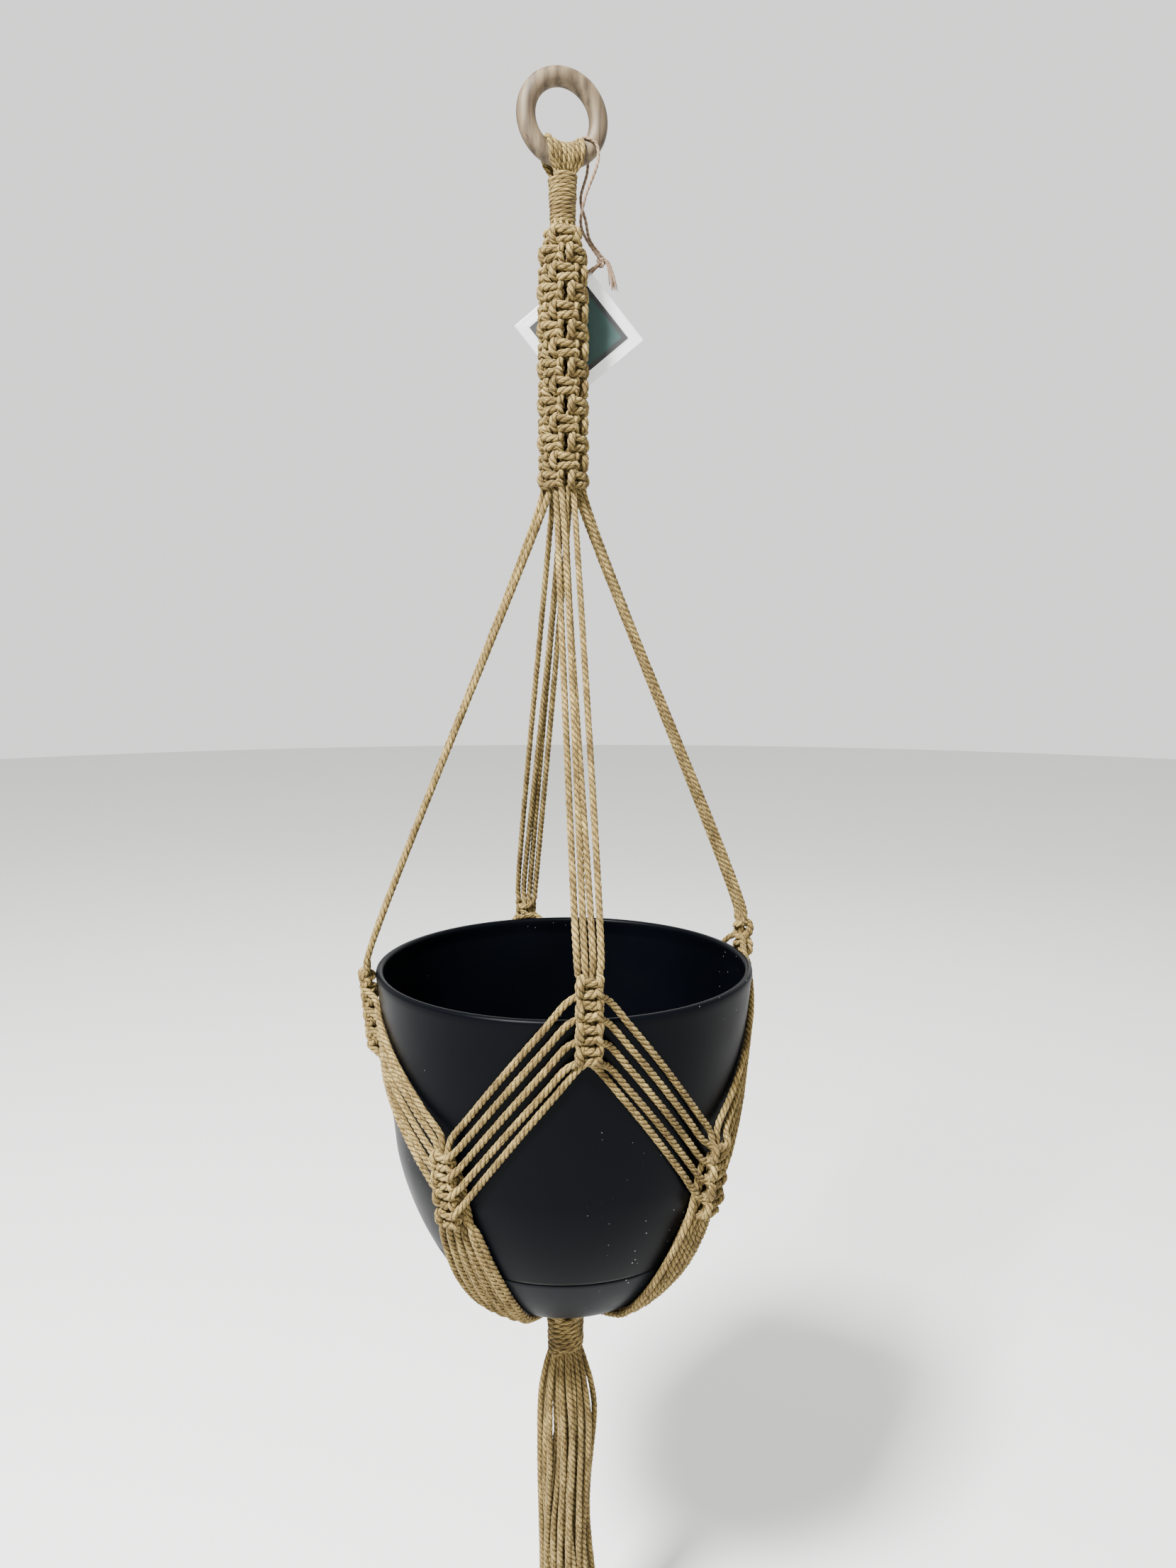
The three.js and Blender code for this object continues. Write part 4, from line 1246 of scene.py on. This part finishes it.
card_green = plain_material("green_print", (0.002, 0.026, 0.021), 0.8)
card_black = plain_material("black_print", (0.001, 0.0015, 0.0015), 0.8)
card_white = plain_material("card_stock", (0.55, 0.54, 0.50), 0.8)
rings = [
    card_ring(CARD_SIDE - 2 * CARD_BORDER, CARD_THICKNESS / 2),
    card_ring(CARD_SIDE, CARD_THICKNESS / 2),
    card_ring(CARD_SIDE, -CARD_THICKNESS / 2),
]
count = len(rings[0])
faces = [tuple(range(count))]
paint = [0]
for r, slot in ((0, 1), (1, 2)):
    for k in range(count):
        after = (k + 1) % count
        faces.append((r * count + k, r * count + after, (r + 1) * count + after, (r + 1) * count + k))
        paint.append(slot)
faces.append(tuple(range(2 * count, 3 * count))[::-1])
paint.append(2)
card = add_mesh("printed_card", [p for ring in rings for p in ring], faces,
                [card_green, card_black, card_white])
card.data.polygons.foreach_set("material_index", paint)
face_outwards(card)
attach(card, "tag")
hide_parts("tag_card")

sleeve_film = bpy.data.materials.new("clear_film")
sleeve_film.use_nodes = True
film_shader = sleeve_film.node_tree.nodes["Principled BSDF"]
film_shader.inputs["Base Color"].default_value = (0.30, 0.31, 0.30, 1)
film_shader.inputs["Roughness"].default_value = 0.22
film_shader.inputs["Specular IOR Level"].default_value = 0.05
film_shader.inputs["Alpha"].default_value = 0.02

sealed_film = plain_material("sealed_film", (0.70, 0.71, 0.70), 0.3)
sealed_film.node_tree.nodes["Principled BSDF"].inputs["Alpha"].default_value = 0.24

vertices, faces, paint = [], [], []
for side in (-1, 1):
    for layer in (0, 1):
        first = len(vertices)
        for i in range(FILM_STEPS + 1):
            for k in range(FILM_STEPS + 1):
                x = (i / FILM_STEPS - 0.5) * SLEEVE_SIDE
                y = (k / FILM_STEPS - 0.5) * SLEEVE_SIDE
                edge = min(SLEEVE_SIDE / 2 + x, SLEEVE_SIDE / 2 - x, SLEEVE_SIDE / 2 - y)
                rise = min(1.0, max(0.0, (edge - SEAL) / 0.0035))
                away = 0.00004 + 0.00062 * rise * rise * (3 - 2 * rise) + FILM * layer
                vertices.append(in_tag(x, y, side * away + sag(x, y) * 0.4))
        row = FILM_STEPS + 1
        for i in range(FILM_STEPS):
            for k in range(FILM_STEPS):
                a = first + i * row + k
                faces.append((a, a + 1, a + row + 1, a + row))
                off_middle = max(abs(i + 0.5 - FILM_STEPS / 2), abs(k + 0.5 - FILM_STEPS / 2))
                paint.append(int(off_middle * SLEEVE_SIDE / FILM_STEPS > CARD_SIDE / 2 + 0.0003))
    inner = first - row * row
    border = [k for k in range(row)] + [i * row + FILM_STEPS for i in range(1, row)]
    border += [FILM_STEPS * row + k for k in range(FILM_STEPS - 1, -1, -1)]
    border += [i * row for i in range(FILM_STEPS - 1, 0, -1)]
    for n, edge in enumerate(border):
        after = border[(n + 1) % len(border)]
        faces.append((inner + edge, inner + after, first + after, first + edge))
        paint.append(1)
sleeve = add_mesh("clear_pocket", vertices, faces, [sleeve_film, sealed_film])
sleeve.data.polygons.foreach_set("material_index", paint)
face_outwards(sleeve)
punched = SLEEVE_SIDE / 2 - PUNCH_INSET / math.sqrt(2)
drill(sleeve, [in_tag(punched, punched, 0)], PUNCH, 0.01, tag_normal)
sleeve.data.polygons.foreach_set("use_smooth", [True] * len(sleeve.data.polygons))
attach(sleeve, "tag")
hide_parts("tag_sleeve")

# The groove colour is the painted shade between the twine's plies.
jute = make_cord_finish(
    "brown_twine", deep=(0.085, 0.053, 0.032), middle=(0.18, 0.118, 0.075),
    pale=(0.32, 0.23, 0.155), groove_shade=(0.050, 0.028, 0.016))
TWINE_RADIUS = 0.00092
TWINE_SIZES = {"Radius": TWINE_RADIUS, "Lay_length": 0.0062, "Ring_spacing": 0.0006, "Plies": 2}
LOOP_RADIUS = 0.0044
LOOP_LEAN = math.radians(50)
lean = tag_across * math.sin(LOOP_LEAN) + up * math.cos(LOOP_LEAN)
hole = in_tag(punched, punched, 0)
knot = hole + lean * 0.0133
loop_route = [knot - lean * 0.001 + tag_normal * 0.0008]
for i in range(1, 12):
    turn = math.tau * i / 12
    loop_route.append(hole + lean * LOOP_RADIUS * (1 + math.cos(turn))
                      + tag_normal * (LOOP_RADIUS * 0.8 * math.sin(turn)))
loop_route.append(knot - lean * 0.001 - tag_normal * 0.0008)
line, width, _ = smooth_route(loop_route, [1.0] * len(loop_route), spacing=0.0005)
lay_cords("tag_loop_twine", [(line, width, 201)], "tag", ("tag_loop",), jute, **TWINE_SIZES)

knot_route = []
for i in range(25):
    t = math.tau * i / 24
    knot_route.append(
        knot + tag_across * (0.00078 * (math.sin(t) + 2 * math.sin(2 * t)))
        + up * (0.00078 * (math.cos(t) - 2 * math.cos(2 * t)))
        - tag_normal * (0.0011 * math.sin(3 * t)))
line, width, _ = smooth_route(knot_route, [1.05] * len(knot_route), spacing=0.0005)
lay_cords("tag_knot_twine", [(line, width, 202)], "tag", ("tag_knot",), jute, **TWINE_SIZES)

FRAYED_FIBRES = 26
frayed = []
for n in range(FRAYED_FIBRES):
    spread = (n / (FRAYED_FIBRES - 1) - 0.5) * 2
    depth = math.sin(n * 2.4)
    reach = 0.85 + 0.15 * math.sin(n * 1.7)
    points = [knot + tag_across * 0.0005 + tag_normal * 0.0015]
    for across, down, open_by in ((0.0030, -0.0008, 0.0005), (0.0056, 0.0040, 0.0008),
                                  (0.0072, 0.0100, 0.0012), (0.0080, 0.0165, 0.0021)):
        points.append(knot + tag_across * (across * reach + spread * open_by)
                      - up * (down * reach) + tag_normal * (0.0018 + depth * open_by * 0.6))
    line, width, _ = smooth_route(points, [1.1, 1.1, 1.0, 0.9, 0.6], spacing=0.0007)
    frayed.append((line, width, 210 + n))
lay_cords("tag_knot_frayed_end", frayed, "tag", ("tag_knot",), jute,
          Radius=0.00034, Lay_length=0.009, Ring_spacing=0.0009, Sides=10)

over = Vector(tag_swing["pos_m"])
inwards = (ring_centre - over).normalized()
TWINE_HUG = RING_TUBE + TWINE_RADIUS + 0.0003


def on_ring_side(facing, inward, along=0.0, down=0.0):
    return (over + ring_facing * facing * TWINE_HUG + inwards * inward * TWINE_HUG
            + ring_side * along - up * down)


def beside(high, across, down, forward):
    place = tag_middle + tag_across * across + tag_normal * forward
    return Vector((place.x, place.y, high[2] - down))


twine_route = [
    knot + tag_across * -0.0012 + up * 0.0020 + tag_normal * 0.0006,
    beside(crown_high, 0.0035, -0.001, 0.005),
    beside(wrap_high, 0.0010, 0.024, 0.0135),
    beside(wrap_high, 0.0035, 0.012, 0.0175),
    on_ring_side(1.15, 0, 0.0016, 0.009),
    on_ring_side(1, 0, 0.0006),
    on_ring_side(0.7, 0.72),
    on_ring_side(0, 1),
    on_ring_side(-0.7, 0.72),
    on_ring_side(-1, 0, 0.0006),
    on_ring_side(-1.2, 0, 0.0010, 0.010),
    beside(wrap_high, 0.0010, 0.010, 0.0070),
    beside(wrap_high, 0.0040, 0.022, 0.0080),
    beside(crown_high, 0.0065, 0.0, 0.001),
    knot + tag_across * 0.0014 + up * 0.0020 - tag_normal * 0.0004,
]
line, width, _ = smooth_route(twine_route, [1.0] * len(twine_route), spacing=0.0006)
twine = lay_cords("tag_twine_strand", [(line, width, 240)], "tag", ("tag_twine",), jute, **TWINE_SIZES)
